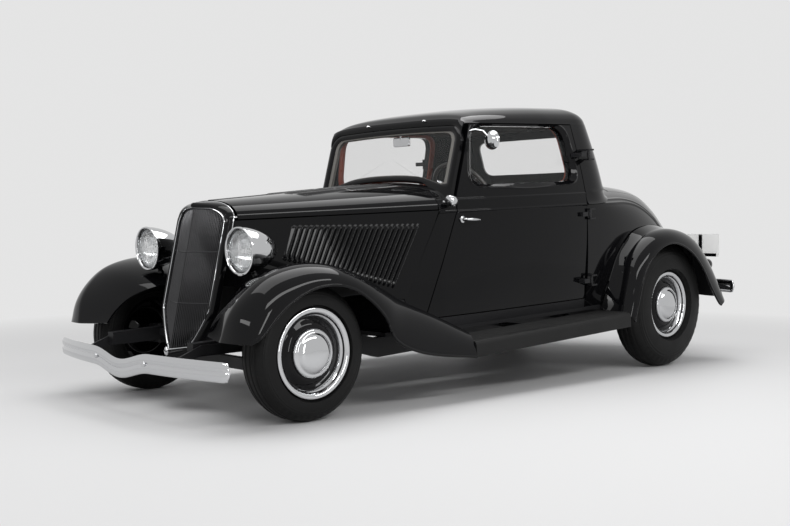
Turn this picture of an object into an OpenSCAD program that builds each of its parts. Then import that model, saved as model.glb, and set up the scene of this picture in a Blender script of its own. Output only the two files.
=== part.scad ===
// Three-window coupe of the nineteen-thirties, lowered and raked, with full fenders.
// Frame: X to the car's left, Y to the rear, Z up, origin on the ground under the middle of the car.
// Body, frame and fenders are drawn level in their own axes (x, s, h), with s measured rearwards from
// the front axle and h from the ground there, and are then tipped nose-down by the rake.

/* [Stance] */
// Distance between the axles
wheelbase = 2845; // [2780:5:2900]
// Nose-down rake of frame and body, degrees
rake = 3; // [2.6:0.1:3.3]
// Front axle to the foremost point of the front bumper
front_reach = 560; // [540:5:590]
// Front axle to the rearmost point of the rear bumper
rear_reach = 3790; // [3770:5:3830]

/* [Wheels] */
// Radius of the front tyres
front_tyre_r = 309; // [300:1:316]
// Width of the front tyres
front_tyre_w = 168; // [150:2:176]
// Radius of the rear tyres
rear_tyre_r = 387; // [375:1:395]
// Width of the rear tyres
rear_tyre_w = 206; // [190:2:216]
// Middle of a front tyre from the centre of the car
front_track_half = 672; // [664:2:680]
// Middle of a rear tyre from the centre of the car
rear_track_half = 660; // [654:2:668]
// Radius of the rim seat under the tyre
rim_r = 190; // [184:1:196]
// Radius of the domed cap
cap_r = 108; // [90:1:120]
// Radius of the wheel spindles
spindle_r = 20; // [16:1:26]
// Running clearance of a bearing, on the radius
bearing_gap = 0.06; // [0.03:0.01:0.1]

/* [Steering] */
// Kingpin from the centre of the car
kingpin_x = 560; // [552:1:566]
// Radius of the kingpins
kingpin_r = 11; // [9:0.5:13]
// Length of the steering arms behind the kingpins
arm_reach = 130; // [115:1:145]

/* [Body] */
// Thickness of a door
door_t = 55; // [45:1:60]
// Thickness of the body walls
wall_t = 30; // [24:1:36]
// Thickness of fenders and hood panels
panel_t = 8; // [6:0.5:10]
// Gap round doors, hood tops and deck lid
panel_gap = 6; // [5:0.5:8]
// Height of the lower belt bead
belt_h = 893; // [885:1:900]
// Half width of the body at the rear of the doors
body_half = 665; // [655:1:672]
// Half width of the hood at the grille
nose_half = 232; // [225:1:240]
// Half width at the front of the cowl
cowl_half = 530; // [520:1:536]
// Height of the body's lower edge
sill_h = 290; // [286:1:296]
// Height of the roof above the level ground line
roof_h = 1486; // [1475:1:1498]
// Height where the roof panel starts
roof_edge_h = 1362; // [1354:1:1368]
// Outer edge of the fenders from the centre of the car
fender_half = 828; // [820:1:840]

/* [Openings] */
// Height of the door window sill
window_low = 1030; // [1015:1:1050]
// Top of the door window
window_top = 1345; // [1335:1:1347]
// Lean of the windshield from upright, degrees
windshield_lean = 17.7; // [16:0.1:19]
// Foot of the windshield behind the front axle, at a height of one metre
windshield_s = 1145; // [1138:1:1150]

/* [Fittings] */
// Radius of a headlamp shell
lamp_r = 112; // [104:1:118]
// Number of louvres on each hood side
louvre_count = 24; // [12:1:30]
// Number of bars on each half of the grille
bar_count = 20; // [10:1:24]
// Distance between the plate's two holes
plate_hole_pitch = 178; // [170:1:186]
// Radius of the plate's holes
plate_hole_r = 3.5; // [3:0.5:4]

/* [Hidden] */
mid_y = (rear_reach - front_reach) / 2;
black = [0.03, 0.03, 0.035];
chrome = [0.8, 0.81, 0.83];
steel = [0.18, 0.18, 0.19];
glass_tint = [0.75, 0.82, 0.82, 0.4];
leather = [0.36, 0.15, 0.1];
rubber = [0.05, 0.05, 0.05];

// Places
module level() { translate([0, -mid_y, 0]) children(); }
module raked() { level() rotate([rake, 0, 0]) children(); }
module both_sides() {
    children();
    mirror([1, 0, 0]) children();
}

// Curves
function mix(a, b, t) = a + (b - a) * t;
function flat_list(g) = [for (row = g) each row];
function span_of(tab, t, i = 0) = i >= len(tab) - 2 || t <= tab[i + 1][0] ? i : span_of(tab, t, i + 1);
function slope_at(tab, i, c) =
    let (a = max(i - 1, 0), b = min(i + 1, len(tab) - 1))
    (tab[b][c] - tab[a][c]) / (tab[b][0] - tab[a][0]);
// Value in column c of a table at t in its first column, along a smooth curve through the rows
function along(tab, t, c = 1) =
    let (i = span_of(tab, t), d = tab[i + 1][0] - tab[i][0], u = (t - tab[i][0]) / d,
        p = tab[i][c], q = tab[i + 1][c], m = slope_at(tab, i, c) * d, n = slope_at(tab, i + 1, c) * d)
    p + m * u + (3 * (q - p) - 2 * m - n) * u * u + (2 * (p - q) + m + n) * u * u * u;
function unit(v) = v / max(norm(v), 1e-9);

// Shells
function step(g, i, j, di, dj) =
    let (m = len(g) - 1, n = len(g[0]) - 1)
    g[min(max(i + di, 0), m)][min(max(j + dj, 0), n)];
function grid_normal(g, i, j) =
    unit(cross(step(g, i, j, 1, 0) - step(g, i, j, -1, 0), step(g, i, j, 0, 1) - step(g, i, j, 0, -1)));
// The skin a distance t inside a skin, where the outside faces away from the line x = 0 at height core_h
function inside(g, t, core_x = 0, core_h = 500) =
    [for (i = [0 : len(g) - 1]) [for (j = [0 : len(g[0]) - 1])
        let (p = g[i][j], n = grid_normal(g, i, j), away = [p.x - core_x, 0, p.z - core_h])
        p - n * t * (n * away > 0 ? 1 : -1)]];
function two(a, b, c, d) = [[a, b, c], [a, c, d]];
function turned(f) = [for (k = [len(f) - 1 : -1 : 0]) f[k]];
// A closed wall between an outer and an inner skin. With capped set, the last row is bridged side to side.
module shell(outer, inner, capped = false) {
    m = len(outer);
    n = len(outer[0]);
    k = m * n;
    e = (m - 1) * n;
    h = (n - 1) / 2;
    i0 = floor((m - 1) / 2);
    j0 = floor((n - 1) / 4);
    lift = cross(outer[i0][j0 + 1] - outer[i0][j0], outer[i0 + 1][j0 + 1] - outer[i0][j0]);
    wrong = lift * (outer[i0][j0] - inner[i0][j0]) > 0;
    skin = [for (i = [0 : m - 2], j = [0 : n - 2])
        each two(i * n + j, i * n + j + 1, (i + 1) * n + j + 1, (i + 1) * n + j)];
    lining = [for (f = skin) [k + f[2], k + f[1], k + f[0]]];
    first_row = [for (j = [0 : n - 2]) each two(j, k + j, k + j + 1, j + 1)];
    last_row = capped ? [] : [for (j = [e : e + n - 2]) each two(j + 1, k + j + 1, k + j, j)];
    first_column = [for (i = [0 : m - 2]) each two((i + 1) * n, k + (i + 1) * n, k + i * n, i * n)];
    last_column = [for (i = [1 : m - 1]) each two(i * n - 1, k + i * n - 1, k + (i + 1) * n - 1,
        (i + 1) * n - 1)];
    bridge = capped ? [for (j = [0 : h - 2]) each two(e + j, e + j + 1, e + n - 2 - j, e + n - 1 - j)] : [];
    tip = capped ? [[e + h - 1, e + h, e + h + 1]] : [];
    under = [for (f = concat(bridge, tip)) [k + f[2], k + f[1], k + f[0]]];
    brow = capped ? two(e, e + n - 1, k + e + n - 1, k + e) : [];
    faces = concat(skin, lining, first_row, last_row, first_column, last_column, bridge, tip, under, brow);
    polyhedron(concat(flat_list(outer), flat_list(inner)), wrong ? [for (f = faces) turned(f)] : faces,
        convexity = 6);
}

// Body lines
seat_gap = 0.3;
// How far the flat facets of a curved skin lie inside its curve
facet_sag = 1.1;
rail_x = 335;
rail_w = 50;
shell_depth = 24;
shell_back = shell_depth - 6;
hood_front_s = -30;
cowl_s = 1075;
door_rear_s = 2145;
tail_s0 = 2200;
tail_s1 = 3685;
hood_front_lean = 0.27;
cowl_cut = cowl_s - 12;
cowl_lean = 0.48;
door_lean = 0.372;
tail_power = 2.6;
hood_slope = 0.0476;
hood_peak = 1003;
function hood_crown(s) = hood_peak + hood_slope * s;
function hood_half(s) = mix(nose_half, cowl_half, (s - hood_front_s) / (cowl_s - hood_front_s));
function cabin_half(s) = body_half - (body_half - cowl_half) *
    pow(max(tail_s0 - s, 0) / (tail_s0 - cowl_s), 1.7);
function tail_half(s) = body_half *
    pow(max(1 - pow(max(s - tail_s0, 0) / (tail_s1 + 15 - tail_s0), tail_power), 0), 1 / tail_power);
function belt_half(s) = s < cowl_s ? hood_half(s) : s < tail_s0 ? cabin_half(s) : tail_half(s);
function tuck(s) = 12 + 30 * min(max((s - cowl_s) / 600, 0), 1);
roof_half_front = 540;
roof_half_rear = 556;
function roof_half(s) = mix(roof_half_front, roof_half_rear, min(max((s - 1250) / 700, 0), 1));
// Half width of the body's side at height h
function side_half(s, h) =
    h < belt_h ? belt_half(s) - tuck(s) * pow((belt_h - h) / (belt_h - sill_h), 2)
    : mix(belt_half(s), min(roof_half(s), belt_half(s)), pow((h - belt_h) / (roof_edge_h - belt_h), 1.3));
function hood_front(h) = hood_front_s - hood_front_lean * max(930 - h, 0);
function cowl_front(h) = cowl_cut + cowl_lean * (min(h, belt_h) - belt_h);
function windshield_at(h) = windshield_s + tan(windshield_lean) * (h - 1000);
windshield_t = 24;
function door_front(h) = max(1175 + door_lean * (min(h, belt_h) - belt_h),
    windshield_at(h) + windshield_t + 2 * panel_gap);

// Half of a closed arch: from the side at the belt, over the crown, to the other side
function arch(half, low, top, power, n) =
    [for (k = [0 : n]) let (a = 180 * k / n, c = cos(a), d = sin(a))
        [half * sign(c) * pow(abs(c), 2 / power), low + (top - low) * pow(max(d, 0), 2 / power)]];

// Cowl: sides from the sill up to the belt and the arch over the top
cowl_rows = 5;
cowl_arch = 16;
function cowl_section(u) =
    let (top_s = mix(cowl_cut, 1170 - panel_gap, u),
        heights = [for (k = [0 : cowl_rows - 1]) mix(sill_h, belt_h, k / cowl_rows)],
        left = [for (h = heights) let (s = mix(cowl_front(h), door_front(h) - panel_gap, u))
            [side_half(s, h), s, h]],
        over = [for (p = arch(belt_half(top_s), belt_h, hood_crown(top_s), 2.4, cowl_arch))
            [p.x, top_s, p.y]])
    concat(left, over, [for (k = [cowl_rows - 1 : -1 : 0]) [-left[k].x, left[k].y, left[k].z]]);
module cowl() color(black) raked() {
    skin = [for (u = [0, 0.5, 1]) cowl_section(u)];
    shell(skin, inside(skin, wall_t));
}

// Firewall and toe board behind the hood line
firewall_t = 12;
firewall_gap = 14;
// Half width inside the cowl's arch, above the belt
function inner_arch(s, h) =
    (belt_half(s) - wall_t) * pow(max(1 - pow((h - belt_h) / (hood_crown(s) - belt_h - wall_t), 2.4), 0),
        1 / 2.4);
function firewall_half(h) = let (s = cowl_front(h) + firewall_t)
    (h < belt_h ? side_half(s, h) - wall_t : inner_arch(cowl_cut, h)) - firewall_gap;
module firewall() color(black) raked() {
    heights = [sill_h, 450, 600, 750, belt_h, 960, 1000];
    front = [for (h = heights) [for (v = [-1, -0.5, 0, 0.5, 1])
        [v * firewall_half(h), cowl_front(h) + firewall_t, h]]];
    shell(front, [for (row = front) [for (p = row) p + [0, firewall_t, 0]]]);
}

// Windshield frame: a flat leaning plate whose foot follows the cowl, and its glass
windshield_half = 538;
windshield_post = 46;
frame_top = 1349;
frame_bow = 14;
frame_rail = 32;
corner_r = 85;
module windshield_plane(depth, back = 0)
    translate([0, windshield_s, 1000]) rotate([90 - windshield_lean, 0, 0])
        translate([0, 0, -depth - back]) linear_extrude(depth) children();
function up_glass(h) = (h - 1000) / cos(windshield_lean);
function cowl_top(x, s) =
    belt_h + (hood_crown(s) - belt_h) * pow(max(1 - pow(abs(x) / belt_half(s), 2.4), 0), 1 / 2.4);
function frame_foot(x) = cowl_top(x, 1163) + windshield_t * sin(windshield_lean) + 2 * seat_gap;
module windshield_outline(half, inset) {
    steps = 24;
    r = corner_r - inset;
    spread = [for (k = [-steps : steps]) half * sin(90 * k / steps)];
    polygon(concat(
        [for (x = spread) [x, up_glass(frame_foot(x) + inset)]],
        [for (k = [2 * steps : -1 : 0]) let (x = spread[k], v = x / windshield_half,
            over = max(abs(x) - half + r, 0), drop = r - sqrt(max(r * r - over * over, 0)))
            [x, up_glass(frame_top + frame_bow * (1 - v * v) - inset - drop)]]));
}
module windshield_frame() color(black) raked() windshield_plane(windshield_t) difference() {
    windshield_outline(windshield_half, 0);
    windshield_outline(windshield_half - windshield_post, frame_rail);
}
glass_t = 6;
rear_window_half = 430;
rear_window_low = 1088;
rear_window_top = 1306;
rear_window_r = 55;
module cab_glass() color(glass_tint) raked() {
    windshield_plane(glass_t, 9) windshield_outline(windshield_half - windshield_post - seat_gap,
        frame_rail + seat_gap);
    rear_glass();
}

// Cab: rows from the belt to the roof edge, round the back in plan
roof_rows = [[1, 1, 0], [0.968, 0.954, 0.3], [0.905, 0.828, 0.56], [0.785, 0.626, 0.78], [0.585, 0.392, 0.92],
    [0.325, 0.173, 0.985], [0.06, 0.03, 1]];
roof_crown = [[1262, 1396], [1307, 1426], [1400, 1446], [1579, 1465], [1881, 1481], [2200, roof_h]];
roof_stations = [1262, 1300, 1400, 1580, 1880, 2200];
back_angles = [12, 24, 36, 48, 60, 70, 80, 90];
cab_back_low = 375;
cab_back_top = 285;
function mirrored_path(p) = concat(p, [for (k = [len(p) - 2 : -1 : 0]) [-p[k].x, p[k].y, p[k].z]]);
function plan_round(a, b, angle) =
    [a * pow(cos(angle), 2 / tail_power), tail_s0 + b * pow(sin(angle), 2 / tail_power)];
function roof_row(f) = mirrored_path(concat(
    [for (s = roof_stations) [f.x * roof_half(s), s, mix(roof_edge_h, along(roof_crown, s), f.z)]],
    [for (a = back_angles) let (p = plan_round(f.x * roof_half_rear, f.y * cab_back_top, a))
        [max(p.x, 0), p.y, mix(roof_edge_h, roof_h, f.z)]]));
module roof_panel() color(black) raked() {
    skin = [for (f = roof_rows) roof_row(f)];
    lining = inside(skin, wall_t, 0, 900);
    under = concat([[for (p = lining[0]) [p.x, p.y, roof_edge_h]]],
        [for (k = [1 : len(lining) - 1]) [for (p = lining[k]) [p.x, p.y, max(p.z, roof_edge_h)]]]);
    shell(skin, under, capped = true);
}

// Back of the cab above the deck
function tail_row_low(angle) = mix(belt_h, deck_top, pow(sin(angle), 2));
deck_top = 1015;
cab_rows = 5;
function cab_row(t) = mirrored_path(concat(
    [for (s = [door_rear_s + panel_gap, tail_s0]) let (h = mix(belt_h, roof_edge_h, t))
        [side_half(s, h), s, h]],
    [for (angle = back_angles) let (h = mix(tail_row_low(angle), roof_edge_h, t),
        p = plan_round(side_half(tail_s0, h), mix(cab_back_low, cab_back_top, pow(t, 1.4)), angle))
            [max(p.x, 0), p.y, h]]));
module rear_window_hole(grow = 0)
    translate([0, tail_s0, 0]) rotate([90, 0, 0]) translate([0, 0, -900]) linear_extrude(900) offset(r = rear_window_r)
        translate([-rear_window_half + rear_window_r - grow, rear_window_low + rear_window_r - grow])
            square([2 * (rear_window_half - rear_window_r + grow),
                rear_window_top - rear_window_low - 2 * (rear_window_r - grow)]);
module cab_wall(outer_t, inner_t) {
    mid = [for (k = [0 : cab_rows]) cab_row(k / cab_rows)];
    near = inside(mid, outer_t, 0, 700);
    far = inside(mid, inner_t, 0, 700);
    flat_ends = function(g) [for (k = [0 : cab_rows]) [for (j = [0 : len(mid[0]) - 1])
        k == 0 || k == cab_rows ? [g[k][j].x, g[k][j].y, mid[k][j].z] : g[k][j]]];
    shell(flat_ends(near), flat_ends(far));
}
module cab_back() color(black) raked() difference() {
    cab_wall(0, wall_t);
    rear_window_hole();
}
module rear_glass() intersection() {
    cab_wall(10, 10 + glass_t);
    rear_window_hole(-0.3);
}

// Tail: rows from the foot of the cab down to the sill, as half width, depth behind the doors,
// height at the side and height at the back
tail_rows = [[0, 655, cab_back_low, belt_h, deck_top], [0.14, 662, 700, 868, 998], [0.28, 665, 930, 823, 955],
    [0.4, 665, 1112, 763, 846], [0.53, 664, 1247, 678, 737], [0.67, 661, 1392, 580, 604],
        [0.8, 654, 1468, 470, 480],
    [0.9, 642, 1484, 380, 380], [1, 623, 1474, sill_h, sill_h]];
arch_r = 425;
rear_wheel_s = wheelbase * cos(rake) + rear_tyre_r * sin(rake);
rear_wheel_h = rear_tyre_r * cos(rake) - wheelbase * sin(rake);
function arch_low(s) = rear_wheel_h + sqrt(max(arch_r * arch_r - pow(s - rear_wheel_s, 2), 0));
function tail_point(angle, t) =
    let (p = plan_round(along(tail_rows, t, 1), along(tail_rows, t, 2), angle))
    [max(p.x, 0), p.y, mix(along(tail_rows, t, 3), along(tail_rows, t, 4), pow(sin(angle), 2))];
// Share of the way down at which the wheel arch cuts the tail, found by halving
function arch_share(angle, lo = 0.3, hi = 1, n = 12) =
    n == 0 ? (hi == 1 ? 1 : lo)
    : let (t = (lo + hi) / 2, p = tail_point(angle, t), low = abs(p.y - rear_wheel_s) < arch_r ?
        arch_low(p.y) : 0)
    p.z > low ? arch_share(angle, t, hi, n - 1) : arch_share(angle, lo, t, n - 1);
// The tail's inner skin, a wall's thickness in along the surface's own normal
function tail_inner(angle, t, thick) =
    let (d = 0.4, e = 0.004, a0 = max(angle - d, 0), a1 = min(angle + d, 90), t0 = max(t - e, 0), t1 =
        min(t + e, 1),
        n = unit(cross(tail_point(a1, t) - tail_point(a0, t), tail_point(angle, t1) - tail_point(angle, t0))),
        p = tail_point(angle, t), flow = n * [p.x, p.y - tail_s0, p.z - 550] > 0 ? 1 : -1, q =
            p - n * thick * flow)
    angle >= 90 ? [0, q.y, q.z] : q;
lid_angle = 50;
lid_gap_angle = 0.55;
lid_top = 0.06;
lid_low = 0.66;
upper_shares = [0, lid_top / 2, lid_top];
lower_shares = [for (k = [0 : 4]) mix(lid_low, 1, k / 4)];
weld_angle = 0.04;
quarter_angles = [0, 8, 16, 23, 29, 34, 39, 43, 47, lid_angle];
quarter_shares = concat(upper_shares, [0.18, 0.3, 0.42, 0.54], lower_shares);
module quarter() {
    cuts = [for (a = quarter_angles) arch_share(a)];
    shares = [for (c = cuts) [for (k = quarter_shares) c * k]];
    round_skin = [for (i = [0 : len(quarter_angles) - 1])
        [for (t = shares[i]) tail_point(quarter_angles[i], t)]];
    round_lining = [for (i = [0 : len(quarter_angles) - 1])
        [for (t = shares[i]) tail_inner(quarter_angles[i], t, wall_t)]];
    front_edge = function(row) [for (p = row) [p.x, door_rear_s + panel_gap, p.z]];
    shell(concat([front_edge(round_skin[0])], round_skin),
        concat([front_edge(round_lining[0])], round_lining));
}
module quarter_panels() color(black) raked() both_sides() quarter();
module tail_patch(shares, first, thick) {
    angles = [for (k = [0 : 6]) mix(first, 90, k / 6)];
    shell([for (t = shares) mirrored_path([for (a = angles) tail_point(a, t)])],
        [for (t = shares) mirrored_path([for (a = angles) tail_inner(a, t, thick)])]);
}
lid_gap_share = 0.006;
module tail_panel() color(black) raked() {
    tail_patch(upper_shares, lid_angle + weld_angle, wall_t);
    tail_patch(lower_shares, lid_angle + weld_angle, wall_t);
    both_sides() {
        translate([lid_hinge_x - leaf_t - seat_gap, lid_hinge_s, lid_hinge_h]) rotate([0, 90, 0])
            cylinder(r = pin_r, h = lid_hinge_len + 2 * leaf_t + 2 * seat_gap, $fn = 32);
        for (x = [lid_hinge_x - leaf_t - seat_gap, lid_hinge_x + lid_hinge_len + seat_gap])
            translate([x, lid_hinge_s - 8, lid_post_foot])
                cube([leaf_t, 16, lid_hinge_h + 8 - lid_post_foot]);
    }
}
leaf_t = 9;
lid_post_foot = 998;
lid_hinge_x = 200;
lid_hinge_s = 2654;
lid_hinge_h = 1040;
lid_hinge_len = 40;
lid_foot_s = 2764;
// Height of the tail's skin over a point of the plan, found by halving
function deck_height(x, s, lo = 0, hi = 0.6, n = 14) =
    let (t = (lo + hi) / 2, side = pow(x / along(tail_rows, t, 1), tail_power),
        over = side + pow((s - tail_s0) / along(tail_rows, t, 2), tail_power) - 1)
    n == 0 ? mix(along(tail_rows, t, 3), along(tail_rows, t, 4), 1 - side)
    : over > 0 ? deck_height(x, s, t, hi, n - 1) : deck_height(x, s, lo, t, n - 1);
pin_r = 4;
barrel_r = 8;
module deck_lid() color(black) raked() {
    tail_patch([for (k = [0 : 8]) mix(lid_top + lid_gap_share, lid_low - lid_gap_share, k / 8)],
        lid_angle + lid_gap_angle, wall_t - 6);
    both_sides() translate([lid_hinge_x, lid_hinge_s, lid_hinge_h]) rotate([90, 0, 90])
        linear_extrude(lid_hinge_len) lid_arm();
}
// A hinge arm from the side: barrel, drop and a foot on the lid's skin
module lid_arm() {
    reach = lid_foot_s - lid_hinge_s;
    drop = deck_height(lid_hinge_x, lid_foot_s) + 2 * seat_gap - facet_sag - lid_hinge_h;
    difference() {
        union() {
            circle(r = barrel_r, $fn = 64);
            polygon([[5, 3.5], [reach, drop + 14], [reach + 12, drop + 12], [reach + 12, drop], [reach, drop],
                [reach - 3, drop + 6], [5, -3.5]]);
        }
        circle(r = pin_r + bearing_gap, $fn = 64);
    }
}

// Doors, hinged behind: a curved panel as thick as the door, its window and its glass
door_low = 345;
door_top = roof_edge_h - panel_gap;
door_bevel = 22;
window_front_low = 1285;
window_front_top = 1318;
window_rear = 2078;
function door_skin(depth, bevel) =
    [for (h = [door_low, 420, 560, 700, 800, belt_h, 957, window_low, 1190, 1290, door_top])
        [for (u = [0 : 0.125 : 1]) let (s = mix(door_front(h), door_rear_s, u))
            [side_half(s, h) - depth, s + bevel * (1 - u), h]]];
module window_outline(r, inset = 0) {
    offset(r = r - inset) polygon([[window_front_low + r, window_low + r], [window_rear - r, window_low + r],
        [window_rear - r - 12, window_top - r], [window_front_top + r, window_top - r]]);
}
module window_prism(inset = 0)
    rotate([90, 0, 90]) translate([0, 0, 350]) linear_extrude(450) window_outline(60, inset);
module door() color(black) raked() difference() {
    shell(door_skin(0, 0), door_skin(door_t, door_bevel));
    window_prism();
}
module door_left() door();
module door_right() mirror([1, 0, 0]) door();
module door_glass() color(glass_tint) raked() intersection() {
    shell(door_skin(26, 0), door_skin(26 + glass_t, 0));
    window_prism(0.3);
}
module door_glass_left() door_glass();
module door_glass_right() mirror([1, 0, 0]) door_glass();
hinge_s = door_rear_s + panel_gap + 6;
hinge_heights = [448, 836, 1180];
hinge_x = body_half + 14;
hinge_len = 46;
strap_len = 60;
strap_h = 24;
function strap_foot(h) = side_half(door_rear_s, h < belt_h ? h + strap_h / 2 : h - strap_h / 2) + seat_gap;
handle_s = 1205;
handle_h = 850;
handle_r = 14;
mirror_s = 1295;
mirror_h = 1300;
module door_fittings(mirror_too) {
    color(black) for (h = hinge_heights) difference() {
        union() {
            translate([hinge_x, hinge_s, h - hinge_len / 2]) cylinder(r = barrel_r, h = hinge_len, $fn = 32);
            translate([strap_foot(h), door_rear_s - strap_len, h - strap_h / 2])
                cube([hinge_x + 4 - strap_foot(h), strap_len - 2, strap_h]);
            translate([hinge_x - 4, door_rear_s - 10, h - strap_h / 2])
                cube([8, hinge_s - door_rear_s + 10, strap_h]);
        }
        translate([hinge_x, hinge_s, h - hinge_len]) cylinder(r = pin_r + bearing_gap, h = 2 * hinge_len,
            $fn = 32);
    }
    color(chrome) translate([side_half(handle_s + handle_r, handle_h) + seat_gap, 0, handle_h]) {
        translate([0, handle_s, 0]) rotate([0, 90, 0]) cylinder(r = handle_r, h = 40, $fn = 32);
        translate([32, handle_s - 14, -9]) cube([12, 120, 18]);
    }
    if (mirror_too) color(chrome) translate([side_half(mirror_s + 7, mirror_h - 7) + seat_gap, mirror_s,
        mirror_h]) {
        rotate([0, 90, 0]) cylinder(r = 6, h = 118, $fn = 24);
        translate([112, -10, -36]) rotate([-90, 0, 0]) cylinder(r = 50, h = 34, $fn = 48);
    }
}
// Fixed halves of the hinges: door pins between two leaves and the hood's centre rod
module panel_hinges() color(black) raked() {
    both_sides() {
        for (h = hinge_heights) {
            translate([hinge_x, hinge_s, h - hinge_len / 2 - leaf_t - seat_gap])
                cylinder(r = pin_r, h = hinge_len + 2 * leaf_t + 2 * seat_gap, $fn = 32);
            for (low = [h - hinge_len / 2 - leaf_t - seat_gap, h + hinge_len / 2 + seat_gap])
                translate([quarter_foot(low), hinge_s - 6, low])
                    cube([hinge_x + 6 - quarter_foot(low), 50, leaf_t]);
        }
    }
    bar_between([0, hood_top_front, hood_crown(hood_top_front) - panel_t / 2],
        [0, cowl_cut - seat_gap, hood_crown(cowl_cut) - panel_t / 2], hood_rod_r);
}
function quarter_foot(low) =
    (low > belt_h ? side_half(tail_s0, low) : max(tail_side(low), tail_side(low + leaf_t))) + 2 * seat_gap;
function tail_side(h) = along(tail_rows, side_share(h), 1);
function side_share(h, lo = 0, hi = 1, n = 12) =
    n == 0 ? lo : let (t = (lo + hi) / 2) along(tail_rows, t, 3) > h ?
        side_share(h, t, hi, n - 1) : side_share(h, lo, t, n - 1);
module door_fittings_left() raked() door_fittings(true);
module door_fittings_right() mirror([1, 0, 0]) raked() door_fittings(false);

// Hood: a flat louvred side each side and two top panels on a centre hinge
hood_angle = atan((cowl_half - nose_half) / (cowl_s - hood_front_s));
hood_side_t = 12;
function along_hood(s) = (s - hood_front_s) / cos(hood_angle);
function hood_low(s) = mix(600, 450, s / 850);
module hood_plane() translate([nose_half, hood_front_s, 0]) rotate([0, 0, -hood_angle])
    rotate([90, 0, 90]) children();
module hood_side() {
    top = belt_h + 10;
    hood_plane() {
        translate([0, 0, -hood_side_t]) linear_extrude(hood_side_t) polygon([
            [along_hood(hood_front(600) + shell_back + seat_gap), 600],
            [along_hood(hood_front(top) + shell_back + seat_gap), top],
            [along_hood(cowl_cut - 2), top], [along_hood(cowl_cut - 2), belt_h],
            [along_hood(cowl_front(455) - 2), 455]]);
        for (k = [0 : louvre_count - 1]) let (u = k / (louvre_count - 1),
            foot = [along_hood(mix(217, 780, u)), mix(697, 522, u)], head =
                [along_hood(mix(280, 941, u)), mix(866, 843, u)])
            translate([foot.x, foot.y, -4]) rotate([0, 0, atan2(head.y - foot.y, head.x - foot.x)])
                louvre(norm(head - foot));
    }
}
louvre_r = 11;
module louvre(length) intersection() {
    rotate([0, 90, 0]) cylinder(r = louvre_r, h = length, $fn = 32);
    translate([0, -2 * louvre_r, 0]) cube([length, 2.5 * louvre_r, 2 * louvre_r]);
}
module hood_sides() color(black) raked() both_sides() hood_side();
hood_rod_r = 7.5;
hood_top_front = hood_front_s + shell_back + panel_gap;
hood_top_rear = cowl_cut - panel_gap;
hood_arc = 12;
function hood_top_row(s) =
    let (low = belt_h + 10 + panel_gap, top = hood_crown(s), last =
        acos(pow((hood_rod_r + 0.5) / hood_half(s), 1.2)))
    [for (k = [0 : hood_arc]) let (a = last * k / hood_arc)
        [hood_half(s) * pow(cos(a), 2 / 2.4), s, mix(low, top, pow(sin(a), 2 / 2.4))]];
module hood_top() color(black) raked() {
    skin = [for (k = [0 : 8]) hood_top_row(mix(hood_top_front, hood_top_rear, k / 8))];
    shell(skin, inside(skin, panel_t, 0, 700));
}
module hood_top_left() hood_top();
module hood_top_right() mirror([1, 0, 0]) hood_top();

// Fenders: each section runs from the inner edge over the crown and rolls down to the lip
// How far the lip is drawn in towards the nose, by section
nose_taper = [[0, 38], [1, 18], [2, 6], [3, 0], [4, 0], [11, 0]];
// Front fender, by section: lip s, lip h, crown x, crown s, crown h, inner x, inner s, inner h
front_fender_rows = [
    [0, -356, 396, 640, -408, 402, 455, -348, 408], [1, -312, 424, 664, -372, 518, 440, -304, 468],
    [2, -245, 492, 682, -300, 606, 420, -226, 530], [3, -155, 558, 698, -195, 674, 350, -130, 575],
    [4, -35, 604, 700, -52, 708, 300, -10, 594], [5, 88, 611, 700, 88, 706, 296, 110, 572],
    [6, 200, 583, 700, 220, 674, 330, 235, 551], [7, 300, 520, 700, 345, 621, 365, 365, 528],
    [8, 385, 435, 704, 467, 553, 400, 490, 506], [9, 455, 315, 712, 600, 480, 438, 625, 482],
    [10, 650, 230, 724, 790, 396, 510, 800, 400], [11, 990, 168, 735, 990, 300, 585, 990, 262]];
roll_steps = 5;
dip_steps = 5;
function fender_section(lip, crown, foot) = concat(
    [for (k = [0 : dip_steps - 1]) let (t = 1 - k / dip_steps)
        [mix(crown.x, foot.x, t), mix(crown.y, foot.y, t), mix(crown.z, foot.z, pow(t, 1.7))]],
    [for (k = [0 : roll_steps]) let (a = 90 * k / roll_steps)
        [mix(crown.x, lip.x, sin(a)), mix(crown.y, lip.y, 1 - cos(a)), mix(crown.z, lip.z, 1 - cos(a))]]);
function front_section(t) =
    let (c = [for (k = [1 : 8]) along(front_fender_rows, t, k)])
    fender_section([fender_half - along(nose_taper, t), c[0], c[1]], [c[2], c[3], c[4]], [c[5], c[6], c[7]]);
module front_fender() {
    skin = [for (k = [0 : 22]) front_section(k / 2)];
    shell(skin, inside(skin, panel_t, 640, 300));
}
module front_fenders() color(black) raked() both_sides() front_fender();
// Rear fender, by section: lip s, lip h, crown x, crown s, crown h, inner s, inner h
rear_fender_rows = [
    [0, 2372, 189, 735, 2330, 250, 2310, 262], [1, 2418, 314, 728, 2385, 400, 2365, 430],
    [2, 2498, 486, 722, 2462, 565, 2450, 585], [3, 2640, 596, 720, 2620, 676, 2600, 700],
    [4, 2805, 628, 720, 2800, 713, 2790, 735], [5, 2973, 574, 720, 2975, 698, 2965, 728],
    [6, 3110, 469, 720, 3130, 640, 3120, 680], [7, 3236, 305, 720, 3270, 522, 3260, 575],
    [8, 3314, 212, 715, 3392, 358, 3384, 420], [9, 3346, 190, 700, 3474, 235, 3458, 262]];
function tail_half_at(s, h) =
    let (t = tail_share(h), a = along(tail_rows, t, 1), b = along(tail_rows, t, 2))
    s < tail_s0 ? a : a * pow(max(1 - pow((s - tail_s0) / b, tail_power), 0.02), 1 / tail_power);
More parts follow.
